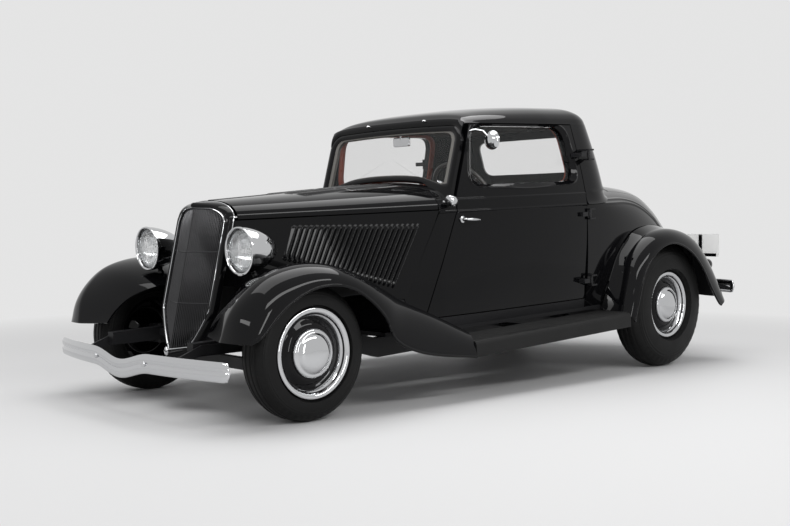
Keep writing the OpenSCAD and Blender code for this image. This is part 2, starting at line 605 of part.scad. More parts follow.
function tail_share(h, lo = 0, hi = 1, n = 12) =
    n == 0 ? lo : let (t = (lo + hi) / 2) along(tail_rows, t, 4) > h ?
        tail_share(h, t, hi, n - 1) : tail_share(h, lo, t, n - 1);
function rear_section(t) =
    let (c = [for (k = [1 : 7]) along(rear_fender_rows, t, k)])
    fender_section([fender_half, c[0], c[1]], [c[2], c[3], c[4]],
        [tail_half_at(c[5], c[6]) + panel_t, c[5], c[6]]);
module rear_fender() {
    skin = [for (k = [0 : 18]) rear_section(k / 2)];
    shell(skin, inside(skin, panel_t, 660, 200));
}
module rear_fenders() color(black) raked() both_sides() rear_fender();

// Running boards between the fenders
board_front = 990 + seat_gap;
board_rear = 2326;
board_top = 250;
bracket_stations = [1180, 1660, 2130];
module running_board() {
    color(steel) translate([0, board_front, 0]) rotate([-90, 0, 0])
        linear_extrude(board_rear - board_front) mirror([0, 1]) polygon([
        [586, board_top - 14], [600, board_top], [800, board_top], [818, board_top - 6],
            [827, board_top - 24],
        [fender_half, 166], [fender_half - 8, 166], [812, board_top - 26], [795, board_top - 14]]);
    color(black) for (s = bracket_stations) translate([rail_x + rail_w + seat_gap, s, board_top - 34])
        cube([330, 40, 20]);
}
module running_boards() raked() both_sides() running_board();

// Grille: a raked, pointed shell with upright bars in each half
grille_top = 996;
grille_low = 265;
grille_lean = 0.262;
grille_wide = 228;
brow_h = 903;
brow_rise = 96;
foot_rise = 240;
foot_tip = 20;
function prow_s(h) = -97 - grille_lean * (grille_top - h);
function foot_share(h) = pow(min((h - grille_low + foot_tip) / foot_rise, 1), 0.5);
function brow_share(h) = h < brow_h ? 1 : pow(1 - pow((h - brow_h) / brow_rise, 2.4), 1 / 2.4);
function grille_half(h) = grille_wide * foot_share(h) * brow_share(h);
function grille_edge(h) = hood_front(h) - 6;
foot_steps = [0, 5, 11, 19, 30, 44, 62, 84, 110, 140, 175, 215];
grille_heights = concat([for (d = foot_steps) grille_low + d],
    [520, 600, 700, 800, brow_h, 925, 945, 962, 976, 988, grille_top]);
shell_rim = 26;
// Half width of the opening, which keeps a rim below the brow as well
function opening_half(h) = grille_half(h < brow_h ? h : h + 18) - shell_rim;
module grille_side() {
    outer = [for (h = grille_heights)
        [for (v = [1, 0.5, 0]) [grille_half(h) * v, mix(prow_s(h), grille_edge(h), v), h]]];
    back = [for (row = outer) [for (p = row) p + [0, shell_depth, 0]]];
    shell(outer, back);
}
module grille_window() {
    heights = concat([for (d = foot_steps) if (d > 40) grille_low + d],
        [520, 600, 700, 800, brow_h, 925, 945, 960, 972]);
    outer = [for (h = heights) [for (v = [1, 0.5, 0])
        [opening_half(h) * v, mix(prow_s(h), grille_edge(h), v) - 30, h]]];
    shell(outer, [for (row = outer) [for (p = row) p + [0, 110, 0]]]);
}
module grille_shell() color(black) raked() difference() {
    union() {
        grille_side();
        mirror([1, 0, 0]) grille_side();
    }
    union() {
        grille_window();
        mirror([1, 0, 0]) grille_window();
    }
}
bar_r = 3;
bar_gap = 1.6;
module grille_bars() color(steel) raked() both_sides() {
    back = shell_depth + bar_r + bar_gap;
    for (k = [1 : bar_count]) let (x = (grille_half(700) - 32) * (k - 0.4) / bar_count,
        low = max(grille_low + 24, bar_foot(x + 4 * bar_r)), top =
            grille_top - 16 - 56 * pow(x / grille_wide, 3))
        bar_between(on_grille(x, low, back), on_grille(x, top, back));
    for (h = [520, 760]) bar_between(on_grille(3, h, back + 2 * bar_r),
        on_grille(grille_half(h) - 32, h, back + 2 * bar_r));
}
// Height at which the rounded foot of the grille is as wide as x
function bar_foot(x) = grille_low - foot_tip + foot_rise * pow(x / grille_wide, 2);
function on_grille(x, h, back) = [x, mix(prow_s(h), grille_edge(h), x / grille_half(h)) + back, h];
module bar_between(a, b, r = bar_r) {
    d = b - a;
    translate(a) rotate([0, acos(d.z / norm(d)), atan2(d.y, d.x)]) cylinder(r = r, h = norm(d), $fn = 16);
}

// Bumpers, level with the ground
bumper_bar = 88;
bumper_t = 22;
bumper_half = 756;
dip_reach = 250;
dip_depth = 40;
function dip(x, depth) = -depth * pow(cos(90 * min(abs(x) / dip_reach, 1)), 2);
// A bowed bar at height z, dipped in the middle
module bow(z, sweep, depth = 0) {
    steps = 20;
    front = [for (rise = [-bumper_bar / 2, bumper_bar / 2])
        [for (k = [-steps : steps]) let (x = bumper_half * k / steps)
        [x, sweep * pow(abs(k / steps), 2.2), z + rise + dip(x, depth)]]];
    shell(front, [for (row = front) [for (p = row) p + [0, bumper_t, 0]]]);
}
front_bumper_z = 263;
rear_bumper_z = 472;
iron_t = 12;
iron_x = rail_x + rail_w + seat_gap;
front_sweep = 95;
rear_sweep = 160;
function bow_at(x, sweep) = sweep * pow(x / bumper_half, 2.2) + bumper_t;
module front_bumper() level() {
    color(chrome) translate([0, -front_reach, 0]) bow(front_bumper_z, front_sweep, dip_depth);
    color(black) both_sides() translate([iron_x, 0, 0]) rotate([90, 0, 90]) linear_extrude(iron_t) polygon([
        [bow_at(iron_x, front_sweep) - front_reach, front_bumper_z - 20],
        [bow_at(iron_x, front_sweep) - front_reach, front_bumper_z + 20],
        [-360, 345], [-260, 345], [-260, 305], [-360, 300]]);
}
module rear_bumper() level() {
    color(chrome) translate([0, rear_reach, 0]) mirror([0, 1, 0]) bow(rear_bumper_z, rear_sweep);
    last = rear_reach - bow_at(iron_x, rear_sweep);
    color(black) both_sides() translate([iron_x, 0, 0]) rotate([90, 0, 90]) linear_extrude(iron_t) polygon([
        [3380, 432], [3530, 440], [3620, rear_bumper_z + 22], [last, rear_bumper_z + 22],
        [last, rear_bumper_z - 22], [3640, rear_bumper_z - 24], [3560, 394], [3380, 388]]);
}

// Lamps
lamp_x = 408;
lamp_s = -80;
lamp_h = 768;
lamp_depth = 196;
lamp_lens_r = 100;
module lamp_place() translate([lamp_x, lamp_s, lamp_h]) rotate([90, 0, 0]) children();
lens_seat = 18;
function fender_foot(x, s, lo = 2, hi = 7, n = 14) =
    let (t = (lo + hi) / 2, c = [for (k = [1 : 8]) along(front_fender_rows, t, k)], q =
        (c[2] - x) / (c[2] - c[5]))
    n == 0 ? mix(c[4], c[7], pow(q, 1.7))
    : mix(c[3], c[6], q) < s ? fender_foot(x, s, t, hi, n - 1) : fender_foot(x, s, lo, t, n - 1);
stand_ball = 18;
stand_s = -45;
module headlamps() color(chrome) raked() both_sides() {
    lamp_place() difference() {
        rotate_extrude($fn = 96) polygon(concat([[0, -lamp_depth + 40]],
            [for (k = [1 : 8]) [lamp_r * sin(90 * k / 8), 40 - lamp_depth * pow(cos(90 * k / 8), 1.3)]],
                [[0, 40]]));
        translate([0, 0, -40]) cylinder(r1 = 60, r2 = lamp_lens_r - 4, h = 40 + lens_seat, $fn = 96);
        translate([0, 0, lens_seat]) cylinder(r = lamp_lens_r, h = 40, $fn = 96);
    }
    foot = [lamp_x + 8, stand_s, fender_foot(lamp_x + 8, stand_s) + stand_ball];
    translate(foot) sphere(r = stand_ball, $fn = 48);
    bar_between([lamp_x, lamp_s + 24, lamp_h - lamp_r + 14], foot, 13);
}
module headlamp_lenses() color(glass_tint) raked() both_sides() lamp_place()
    translate([0, 0, lens_seat + seat_gap]) cylinder(r = lamp_lens_r - seat_gap, h = 16, $fn = 96);
cowl_lamp_s = 1108;
cowl_lamp_h = 952;
cowl_lamp_x = 572;
module cowl_lamps() color(chrome) raked() both_sides() {
    translate([cowl_lamp_x, cowl_lamp_s + 26, cowl_lamp_h]) rotate([90, 0, 0])
        rotate_extrude($fn = 64) polygon([[0, 0], [14, 2], [24, 14], [28, 30], [28, 50], [22, 55], [0, 56]]);
    translate([cowl_lamp_side + seat_gap, cowl_lamp_s, cowl_lamp_h - 6]) rotate([0, 90, 0])
        cylinder(r = 8, h = cowl_lamp_x - cowl_lamp_side - 10, $fn = 32);
}
cowl_lamp_side = cowl_side_at(cowl_lamp_h - 14, cowl_lamp_s + 4) - facet_sag;
function cowl_side_at(h, s) =
    belt_half(s) * pow(1 - pow((h - belt_h) / (hood_crown(s) - belt_h), 2.4), 1 / 2.4);
tail_lamp = [495, 3712, 612];
plate_mid = [453, 3715, 745];
plate_w = 264;
plate_h = 156;
strap_w = 22;
strap_t = 8;
stand_r = 9;
// Reach of the tilted stand's end towards the iron
stand_side = 0.848 * stand_r;
module tail_lamps() color(black) level() {
    both_sides() {
        translate(tail_lamp) rotate([90, 0, 0]) cylinder(r = 40, h = 70, $fn = 48);
        bar_between(tail_lamp + [-20, -32, -26],
            [iron_x + iron_t + stand_side + seat_gap, 3640, rear_bumper_z + 12], stand_r);
    }
    translate([plate_mid.x - strap_w, plate_mid.y - 14, tail_lamp.z + 10])
        cube([strap_w, strap_t, plate_mid.z + plate_h / 2 - 4 - tail_lamp.z - 10]);
    translate([plate_mid.x - strap_w, plate_mid.y - 14, plate_mid.z - plate_h / 2])
        cube([plate_w / 2, strap_t, strap_w]);
    translate([plate_mid.x - 10, tail_lamp.y - 46, tail_lamp.z + 10])
        cube([80, plate_mid.y - tail_lamp.y + 40, 14]);
}
module number_plate() color("white") level() translate(plate_mid) rotate([90, 0, 0]) difference() {
    translate([-plate_w / 2, -plate_h / 2, 4]) cube([plate_w, plate_h, 1.7]);
    for (side = [-1, 1]) translate([side * plate_hole_pitch / 2, 40, 0])
        cylinder(r = plate_hole_r, h = 10, $fn = 24);
}

// Frame and running gear
rail_line = [[-380, 372, 60], [330, 372, 80], [720, 264, 100], [2320, 264, 100], [2560, 430, 100],
    [3080, 430, 90], [3455, 286, 60]];
floor_t = 22;
module frame_rails() color(black) raked() {
    both_sides() translate([rail_x, 0, 0]) rotate([90, 0, 90]) linear_extrude(rail_w)
        polygon(concat([for (p = rail_line) [p[0], p[1]]],
            [for (k = [len(rail_line) - 1 : -1 : 0]) [rail_line[k][0], rail_line[k][1] - rail_line[k][2]]]));
    for (c = crossmembers) translate([-rail_x, c[0], c[1] - c[2]]) cube([2 * rail_x, 60, c[2]]);
}
spring_top = 318;
rear_spring_s = 2712;
rear_spring_top = 347;
// Crossmembers: front edge, top, depth
crossmembers = [[-120, 362, 34], [-30, spring_top + 42, 42], [1500, 256, 40], [2200, 256, 40],
    [rear_spring_s - 30, rear_spring_top + 44, 44], [3385, 290, 34]];
module rocker() {
    rows = [for (h = [sill_h, door_low - panel_gap]) [for (u = [0 : 0.125 : 1])
        let (s = mix(door_front(h) + panel_gap / 2, door_rear_s + panel_gap - seat_gap, u))
            [side_half(s, h), s, h]]];
    shell(rows, [for (row = rows) [for (p = row) p - [wall_t, 0, 0]]]);
}
trunk_low = 430;
trunk_t = 14;
riser_s = 2296;
module floor_pan() color(black) raked() {
    stations = [740, 900, 1100, 1300, 1600, 1900, 2200, riser_s + trunk_t];
    edge = [for (s = stations) [side_half(s, sill_h) - 2, s]];
    translate([0, 0, sill_h - floor_t]) linear_extrude(floor_t)
        polygon(concat(edge, [for (k = [len(edge) - 1 : -1 : 0]) [-edge[k].x, edge[k].y]]));
    both_sides() rocker();
    translate([-470, 1670, sill_h]) cube([940, riser_s - 1670, seat_h - sill_h]);
    translate([-house_in + seat_gap, riser_s, sill_h])
        cube([2 * house_in - 2 * seat_gap, trunk_t, trunk_low + trunk_t - sill_h]);
    translate([0, 0, trunk_low]) linear_extrude(trunk_t)
        polygon([[house_in - seat_gap, riser_s], [house_in - seat_gap, 3060],
        [390, 3400], [-390, 3400], [-house_in + seat_gap, 3060], [-house_in + seat_gap, riser_s]]);
}
seat_h = 400;
house_t = 8;
house_in = 520;
module wheel_houses() color(black) raked() both_sides() intersection() {
    translate([house_in, rear_wheel_s, rear_wheel_h]) rotate([0, 90, 0]) difference() {
        cylinder(r = arch_r - house_t, h = 80, $fn = 96);
        translate([0, 0, house_t]) cylinder(r = arch_r - 2 * house_t, h = 80, $fn = 96);
    }
    translate([0, 0, sill_h]) linear_extrude(600) polygon(concat([[0, 2440]],
        [for (s = [2440 : 80 : 3160]) [tail_half_at(s, 640) - wall_t - 8, s]], [[0, 3160]]));
}
axle_z = 215;
axle_h = 56;
eye_h = 46;
lug_h = 26;
lug_gap = 0.3;
module front_axle() color(black) level() {
    both_sides() {
        translate([kingpin_x, 0, front_tyre_r - eye_h / 2]) cylinder(r = 24, h = eye_h, $fn = 48);
        translate([kingpin_x, 0, front_tyre_r - eye_h / 2 - lug_h - 4])
            cylinder(r = kingpin_r, h = eye_h + 2 * lug_h + 8, $fn = 48);
        rotate([90, 0, 0]) translate([0, 0, -22]) linear_extrude(44)
            polygon([[-1, axle_z - axle_h / 2], [400, axle_z - axle_h / 2],
            [kingpin_x - 56, front_tyre_r - eye_h / 2], [kingpin_x - 10, front_tyre_r - eye_h / 2],
            [kingpin_x - 10, front_tyre_r + eye_h / 2], [kingpin_x - 56, front_tyre_r + eye_h / 2],
            [400, axle_z + axle_h / 2], [-1, axle_z + axle_h / 2]]);
    }
}
module knuckle() level() color(black) difference() {
    union() {
        for (low = [front_tyre_r - eye_h / 2 - lug_gap - lug_h, front_tyre_r + eye_h / 2 + lug_gap]) {
            translate([kingpin_x, 0, low]) cylinder(r = 24, h = lug_h, $fn = 48);
            translate([kingpin_x, -24, low]) cube([50, 48, lug_h]);
        }
        translate([kingpin_x + 30, -40, front_tyre_r - eye_h / 2 - lug_h]) cube([20, 80, eye_h + 2 * lug_h]);
        translate([kingpin_x + 40, 0, front_tyre_r]) rotate([0, 90, 0])
            cylinder(r = spindle_r, h = spindle_end - kingpin_x - 40, $fn = 64);
        translate([kingpin_x - 14, 0, front_tyre_r - eye_h / 2 - lug_gap - lug_h])
            cube([24, arm_reach + 12, 14]);
    }
    translate([kingpin_x, 0, 0]) cylinder(r = kingpin_r + bearing_gap, h = 600, $fn = 48);
}
spindle_end = front_track_half + 42;
module knuckle_left() knuckle();
module knuckle_right() mirror([1, 0, 0]) knuckle();
rod_r = 11;
arm_top = front_tyre_r - eye_h / 2 - lug_gap - lug_h + 14;
module tie_rod() color(steel) level() {
    translate([-kingpin_x + 10, arm_reach, arm_top + rod_r + 0.5]) rotate([0, 90, 0])
        cylinder(r = rod_r, h = 2 * kingpin_x - 20, $fn = 32);
}
module rear_axle() color(black) level() translate([0, wheelbase, rear_tyre_r]) {
    rotate([0, 90, 0]) rotate_extrude($fn = 96)
        polygon([[0, -rear_track_half - 40], [spindle_r, -rear_track_half - 40], [spindle_r, -540],
        [40, -540], [42, -190], [135, -60], [140, 0], [135, 60], [42, 190], [40, 540], [spindle_r, 540],
        [spindle_r, rear_track_half + 40], [0, rear_track_half + 40]]);
    both_sides() translate([430, -190, 30]) cube([50, 190, 12]);
}
spring_w = 50;
module leaf(half, low, high, t) rotate([90, 0, 0]) translate([0, 0, -spring_w / 2]) linear_extrude(spring_w) {
    steps = 10;
    line = [for (k = [-steps : steps]) let (v = k / steps) [half * v, mix(high, low, v * v)]];
    polygon(concat(line, [for (k = [2 * steps : -1 : 0]) line[k] - [0, t]]));
}
module leaf_springs() color(black) raked() {
    leaf(380, 268, spring_top, 18);
    both_sides() translate([350, -spring_w / 2, 244.2]) cube([28, spring_w, 9]);
    translate([0, rear_spring_s, 0]) leaf(480, 311, rear_spring_top, 22);
}
module engine() color(steel) raked() {
    translate([-190, 150, 330]) cube([380, 500, 300]);
    both_sides() {
        translate([60, 230, 560]) rotate([0, 40, 0]) cube([130, 400, 150]);
        translate([180, 300, 340]) cube([rail_x - 180, 60, 28]);
    }
    translate([0, 649, 455]) rotate([-90, 0, 0]) cylinder(r1 = 130, r2 = 110, h = 50, $fn = 48);
}
module radiator() color(black) raked() translate([-185, -10, spring_top + 42 + seat_gap])
    cube([370, 50, 540]);
exhaust_x = 230;
exhaust_r = 22;
exhaust_h = 216 - exhaust_r - seat_gap;
module exhaust() color(steel) raked() both_sides() {
    translate([exhaust_x, 900, exhaust_h]) rotate([-90, 0, 0]) cylinder(r = exhaust_r, h = 1500, $fn = 32);
    translate([exhaust_x, 1620, exhaust_h]) rotate([-90, 0, 0]) cylinder(r = 38, h = 500, $fn = 48);
}
module fuel_tank() color(black) raked() translate([-310, 3080, trunk_low - seat_gap - 110])
    cube([620, 250, 110]);

// Interior
module seat_cushion() color(leather) raked() translate([-460, 1650, seat_h + seat_gap]) cube([920, 500, 150]);
module seat_back() color(leather) raked() translate([-460, 2160, seat_h + 14.3]) rotate([-8, 0, 0])
    cube([920, 100, 540]);
dash_low = 905;
dash_top = 1000;
dash_t = 126;
dash_gap = 14;
module dashboard() color(leather) raked() translate([0, cowl_cut + 2 * firewall_t + seat_gap + dash_t, 0])
    rotate([90, 0, 0]) linear_extrude(dash_t) {
        edge = [for (h = [dash_low : 19 : dash_top]) [inner_arch(cowl_cut, h) - dash_gap, h]];
        polygon(concat(edge, [for (k = [len(edge) - 1 : -1 : 0]) [-edge[k].x, edge[k].y]]));
    }
wheel_mid = [310, 1480, 985];
column_len = 560;
module steering_wheel() color(steel) raked() {
    translate(wheel_mid) rotate([-58, 0, 0]) {
        rotate_extrude($fn = 96) translate([195, 0]) circle(r = 12, $fn = 24);
        cylinder(r = 40, h = 24, center = true, $fn = 48);
        for (k = [0 : 2]) rotate([0, 0, 90 + 120 * k]) translate([30, -9, -4]) cube([160, 18, 8]);
        translate([0, 0, -column_len]) cylinder(r = 18, h = column_len, $fn = 32);
    }
}

// Wheels and tyres, turning about X
module turn_about_x() rotate([0, 90, 0]) children();
module tyre(r, w) turn_about_x() rotate_extrude($fn = 128) tyre_profile(r, w);
bead_half = 64;
module tyre_profile(r, w) {
    steps = 14;
    outside = [for (k = [0 : 2 * steps]) let (a = -180 * (1 - k / (2 * steps)) + 90, c = cos(a), d = sin(a))
        [mix(rim_r + 1, r, pow(abs(c), 0.55)), w / 2 * sign(d) * pow(abs(d), 0.62)]];
    polygon(concat([for (p = outside) if (p.x > rim_r + 28) p],
        [[rim_r + 22, bead_half + 2], [rim_r, bead_half], [rim_r, -bead_half],
            [rim_r + 22, -bead_half - 2]]));
}
disc_x = 34;
module wheel() turn_about_x() difference() {
    rotate_extrude($fn = 128) {
        polygon([[rim_r - 0.2, -bead_half], [rim_r - 0.2, bead_half], [rim_r + 16, bead_half + 3],
            [rim_r + 18, bead_half + 9],
            [rim_r + 8, bead_half + 14], [rim_r - 16, bead_half + 8], [rim_r - 16, -bead_half]]);
        polygon([[spindle_r + bearing_gap, disc_x - 60], [54, disc_x - 60], [60, disc_x],
            [rim_r - 10, disc_x - 12], [rim_r - 10, disc_x],
            [cap_r + 6, disc_x + 22], [cap_r, disc_x + 40], [cap_r * 0.7, disc_x + 58], [0, disc_x + 64],
                [0, disc_x + 24],
            [spindle_r + bearing_gap, disc_x + 24]]);
    }
}
module front_wheel_place(side) level() translate([side * front_track_half, 0, front_tyre_r])
    rotate([0, 0, side > 0 ? 0 : 180]) children();
module rear_wheel_place(side) level() translate([side * rear_track_half, wheelbase, rear_tyre_r])
    rotate([0, 0, side > 0 ? 0 : 180]) children();
module tyre_front_left() color(rubber) front_wheel_place(1) tyre(front_tyre_r, front_tyre_w);
module tyre_front_right() color(rubber) front_wheel_place(-1) tyre(front_tyre_r, front_tyre_w);
module tyre_rear_left() color(rubber) rear_wheel_place(1) tyre(rear_tyre_r, rear_tyre_w);
module tyre_rear_right() color(rubber) rear_wheel_place(-1) tyre(rear_tyre_r, rear_tyre_w);
module wheel_front_left() color(black) front_wheel_place(1) wheel();
module wheel_front_right() color(black) front_wheel_place(-1) wheel();
module wheel_rear_left() color(black) rear_wheel_place(1) wheel();
module wheel_rear_right() color(black) rear_wheel_place(-1) wheel();

frame_rails();
front_axle();
rear_axle();
leaf_springs();
engine();
radiator();
exhaust();
fuel_tank();
floor_pan();
wheel_houses();
firewall();
cowl();
windshield_frame();
cab_glass();
roof_panel();
cab_back();
quarter_panels();
tail_panel();
front_fenders();
rear_fenders();
running_boards();
hood_sides();
grille_shell();
grille_bars();
front_bumper();
rear_bumper();
headlamps();
headlamp_lenses();
cowl_lamps();
tail_lamps();
number_plate();
seat_cushion();
seat_back();
dashboard();
steering_wheel();
panel_hinges();
hood_top_left();
hood_top_right();
deck_lid();
door_left();
door_right();
door_glass_left();
door_glass_right();
door_fittings_left();
door_fittings_right();
knuckle_left();
knuckle_right();
tie_rod();
tyre_front_left();
tyre_front_right();
tyre_rear_left();
tyre_rear_right();
wheel_front_left();
wheel_front_right();
wheel_rear_left();
wheel_rear_right();
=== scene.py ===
"""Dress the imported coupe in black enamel, chrome, glass, rubber and oxblood leather."""
import math

import bmesh
import bpy
import mathutils
import numpy as np
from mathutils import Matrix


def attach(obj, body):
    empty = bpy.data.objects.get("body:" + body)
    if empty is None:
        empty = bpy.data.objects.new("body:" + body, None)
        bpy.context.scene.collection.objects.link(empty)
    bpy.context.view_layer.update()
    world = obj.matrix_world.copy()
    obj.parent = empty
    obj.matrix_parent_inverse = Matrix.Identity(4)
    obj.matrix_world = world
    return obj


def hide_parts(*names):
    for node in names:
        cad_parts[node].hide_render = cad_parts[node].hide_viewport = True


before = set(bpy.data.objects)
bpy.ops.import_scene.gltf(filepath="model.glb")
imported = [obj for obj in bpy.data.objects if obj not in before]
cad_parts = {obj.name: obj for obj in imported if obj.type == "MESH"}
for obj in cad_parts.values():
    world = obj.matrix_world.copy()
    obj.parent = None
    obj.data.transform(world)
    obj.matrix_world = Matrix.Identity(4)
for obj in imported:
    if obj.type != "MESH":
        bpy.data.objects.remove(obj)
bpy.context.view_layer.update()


# Chassis: rails, axles, springs, engine, pipes and tank keep their solids. Pressed and cast steel under a
# satin black coat, bolted and riveted together as the solids are.
def node_group(name, inputs, outputs):
    """An empty shader group with inputs by default value and outputs by kind, and its two end nodes."""
    tree = bpy.data.node_groups.new(name, "ShaderNodeTree")
    for label, value in inputs.items():
        kind = "NodeSocketColor" if isinstance(value, tuple) else "NodeSocketFloat"
        tree.interface.new_socket(label, in_out="INPUT", socket_type=kind).default_value = value
    for label, kind in outputs.items():
        tree.interface.new_socket(label, in_out="OUTPUT", socket_type="NodeSocket" + kind)
    return tree, tree.nodes.new("NodeGroupInput"), tree.nodes.new("NodeGroupOutput")


def noise(tree, vector, scale, detail):
    """A noise node on a vector, with its scale given as a value or taken from a socket."""
    node = tree.nodes.new("ShaderNodeTexNoise")
    node.inputs["Detail"].default_value = detail
    tree.links.new(vector, node.inputs["Vector"])
    if isinstance(scale, float):
        node.inputs["Scale"].default_value = scale
    else:
        tree.links.new(scale, node.inputs["Scale"])
    return node.outputs["Fac"]


def ramp(tree, value, low, high, to_low, to_high):
    """A value carried from one range to another and held at its ends; a bound may be a socket."""
    node = tree.nodes.new("ShaderNodeMapRange")
    tree.links.new(value, node.inputs["Value"])
    for label, bound in (("From Min", low), ("From Max", high), ("To Min", to_low), ("To Max", to_high)):
        if isinstance(bound, float):
            node.inputs[label].default_value = bound
        else:
            tree.links.new(bound, node.inputs[label])
    return node.outputs["Result"]


def surface_group():
    """Roughness in soft patches between two values, and a normal with a fine grain."""
    tree, start, end = node_group(
        "surface", {"Smooth": 0.1, "Rough": 0.2, "Scale": 300.0, "Depth": 0.05},
        {"Roughness": "Float", "Normal": "Vector"})
    where = tree.nodes.new("ShaderNodeTexCoord").outputs["Object"]
    bump = tree.nodes.new("ShaderNodeBump")
    bump.inputs["Distance"].default_value = 0.001
    tree.links.new(noise(tree, where, start.outputs["Scale"], 3.0), bump.inputs["Height"])
    tree.links.new(start.outputs["Depth"], bump.inputs["Strength"])
    patch = noise(tree, where, 7.0, 5.0)
    rough = ramp(tree, patch, 0.3, 0.7, start.outputs["Smooth"], start.outputs["Rough"])
    tree.links.new(rough, end.inputs["Roughness"])
    tree.links.new(bump.outputs["Normal"], end.inputs["Normal"])
    return tree


surface = surface_group()


def finish(name, color, smooth, rough, scale=300.0, depth=0.05, metallic=0.0, shine=0.5, coat=0.0):
    """A material on the surface group: colour, range of roughness, grain, metal, shine and clear coat."""
    material = bpy.data.materials.new(name)
    material.use_nodes = True
    nodes = material.node_tree.nodes
    links = material.node_tree.links
    shader = nodes["Principled BSDF"]
    texture = nodes.new("ShaderNodeGroup")
    texture.node_tree = surface
    for label, value in (("Smooth", smooth), ("Rough", rough), ("Scale", scale), ("Depth", depth)):
        texture.inputs[label].default_value = value
    links.new(texture.outputs["Roughness"], shader.inputs["Roughness"])
    links.new(texture.outputs["Normal"], shader.inputs["Normal"])
    shader.inputs["Base Color"].default_value = (*color, 1.0)
    shader.inputs["Metallic"].default_value = metallic
    shader.inputs["Specular IOR Level"].default_value = shine
    shader.inputs["Coat Weight"].default_value = coat
    shader.inputs["Coat Roughness"].default_value = 0.015
    shader.inputs["Coat IOR"].default_value = 1.27
    return material


def coat_node(material, slot, *names):
    """Give CAD nodes kept as they are a material; the slot argument is not used."""
    for name in names:
        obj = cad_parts[name]
        obj.data.materials.clear()
        obj.data.materials.append(material)


satin_black = finish("satin_black", (0.012, 0.012, 0.013), 0.3, 0.45, 500.0, 0.08, 0.0, 0.2)
cast_iron = finish("cast_iron", (0.06, 0.06, 0.062), 0.5, 0.7, 260.0, 0.35, 0.6)
bare_steel = finish("bare_steel", (0.3, 0.3, 0.31), 0.3, 0.5, 600.0, 0.08, 0.9)
coat_node(satin_black, "frame_paint", "radiator", "frame_rails", "front_axle", "rear_axle", "leaf_springs",
          "fuel_tank", "knuckle_left", "knuckle_right", "floor_pan", "wheel_houses", "firewall",
          "panel_hinges")
coat_node(cast_iron, "engine_iron", "engine")
coat_node(bare_steel, "bare_steel", "exhaust", "tie_rod")


# Tyres: black crossply rubber with grooved treads, notched shoulders and ringed walls, seated on the rims.
# Each is one turned skin with its inner beads closed.
def lathe(rows, turns=108, sink=None, notches=48):
    """A grid turned about X from rows (radius, x): (x, r cos a, r sin a), r less sink where cos(n a) > 0."""
    angle = np.linspace(0.0, 2.0 * np.pi, turns + 1)[:, None]
    radius, x = np.asarray(rows, float).T
    if sink is not None:
        radius = radius - sink * np.clip(1.5 * np.cos(notches * angle) + 0.5, 0.0, 1.0)
    radius = radius + 0.0 * angle
    return np.stack([x + 0.0 * angle, radius * np.cos(angle), radius * np.sin(angle)], -1)


def weld(grids):
    """Points of grids joined where they meet within 0.1 mm, their quads, and each point's first place."""
    points = np.concatenate([grid.reshape(-1, 3) for grid in grids])
    quads = []
    start = 0
    for grid in grids:
        rows, columns = grid.shape[:2]
        index = start + np.arange(rows * columns).reshape(rows, columns)
        corners = [index[:-1, :-1], index[:-1, 1:], index[1:, 1:], index[1:, :-1]]
        quads.append(np.stack(corners, -1).reshape(-1, 4))
        start += rows * columns
    keys = np.round(points * 1e4 + 0.137).astype(np.int64)
    first, back = np.unique(keys, axis=0, return_index=True, return_inverse=True)[1:]
    return points[first], back.reshape(-1)[np.concatenate(quads)], first


def wall(outer, inner):
    """A closed wall between two lists of grids of like shape: both skins, and a rim along the free edges."""
    points, quads, first = weld(outer)
    lining = np.concatenate([grid.reshape(-1, 3) for grid in inner])[first]
    edges = np.concatenate([quads[:, [k, (k + 1) % 4]] for k in range(4)])
    edges = edges[edges[:, 0] != edges[:, 1]]
    index, times = np.unique(np.sort(edges, 1), axis=0, return_index=True, return_counts=True)[1:]
    free = edges[index[times == 1]]
    n = len(points)
    rim = np.stack([free[:, 1], free[:, 0], free[:, 0] + n, free[:, 1] + n], -1)
    return np.concatenate([points, lining]), np.concatenate([quads, quads[:, ::-1] + n, rim])


def put(name, points, quads, material, slot, body="body", nodes=(), sharp=38.0):
    """A mesh object from points and quads (some with repeated corners), turned outside out, on its body."""
    keep = quads != np.roll(quads, 1, axis=1)
    keep[keep.sum(1) < 3] = False
    sizes = keep.sum(1)
    sizes = sizes[sizes > 0]
    loops = quads[keep]
    name = name + "_dressed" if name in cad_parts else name
    mesh = bpy.data.meshes.new(name)
    mesh.vertices.add(len(points))
    mesh.vertices.foreach_set("co", points.astype(np.float32).ravel())
    mesh.loops.add(len(loops))
    mesh.loops.foreach_set("vertex_index", loops.astype(np.int32))
    mesh.polygons.add(len(sizes))
    mesh.polygons.foreach_set("loop_start", (np.cumsum(sizes) - sizes).astype(np.int32))
    mesh.update(calc_edges=True)
    mesh.validate()
    shape = bmesh.new()
    shape.from_mesh(mesh)
    bmesh.ops.recalc_face_normals(shape, faces=shape.faces)
    shape.to_mesh(mesh)
    shape.free()
    mesh.shade_smooth()
    mesh.set_sharp_from_angle(angle=math.radians(sharp))
    mesh.materials.append(material)
    obj = bpy.data.objects.new(name, mesh)
    bpy.context.collection.objects.link(obj)
    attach(obj, body)
    if nodes:
        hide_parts(*nodes)
    return obj


def skin(name, grids, *look, **more):
    """A piece from grids that close on themselves."""
    points, quads = weld(grids)[:2]
    return put(name, points, quads, *look, **more)


def sheet(name, outer, inner, *look, **more):
    """A piece of sheet between outer and inner grids."""
    return put(name, *wall(outer, inner), *look, **more)


def closed(rows):
    """Rows with the first repeated at the end."""
    rows = np.asarray(rows, float)
    return np.concatenate([rows, rows[:1]])


rim_radius = 0.190
bead_half = 0.064
wheelbase = 2.845
front_y = -1.615
rear_y = 1.230
front_radius = 0.309
rear_radius = 0.387
tread_share = 0.86
wall_power = 0.62
crown_power = 0.55


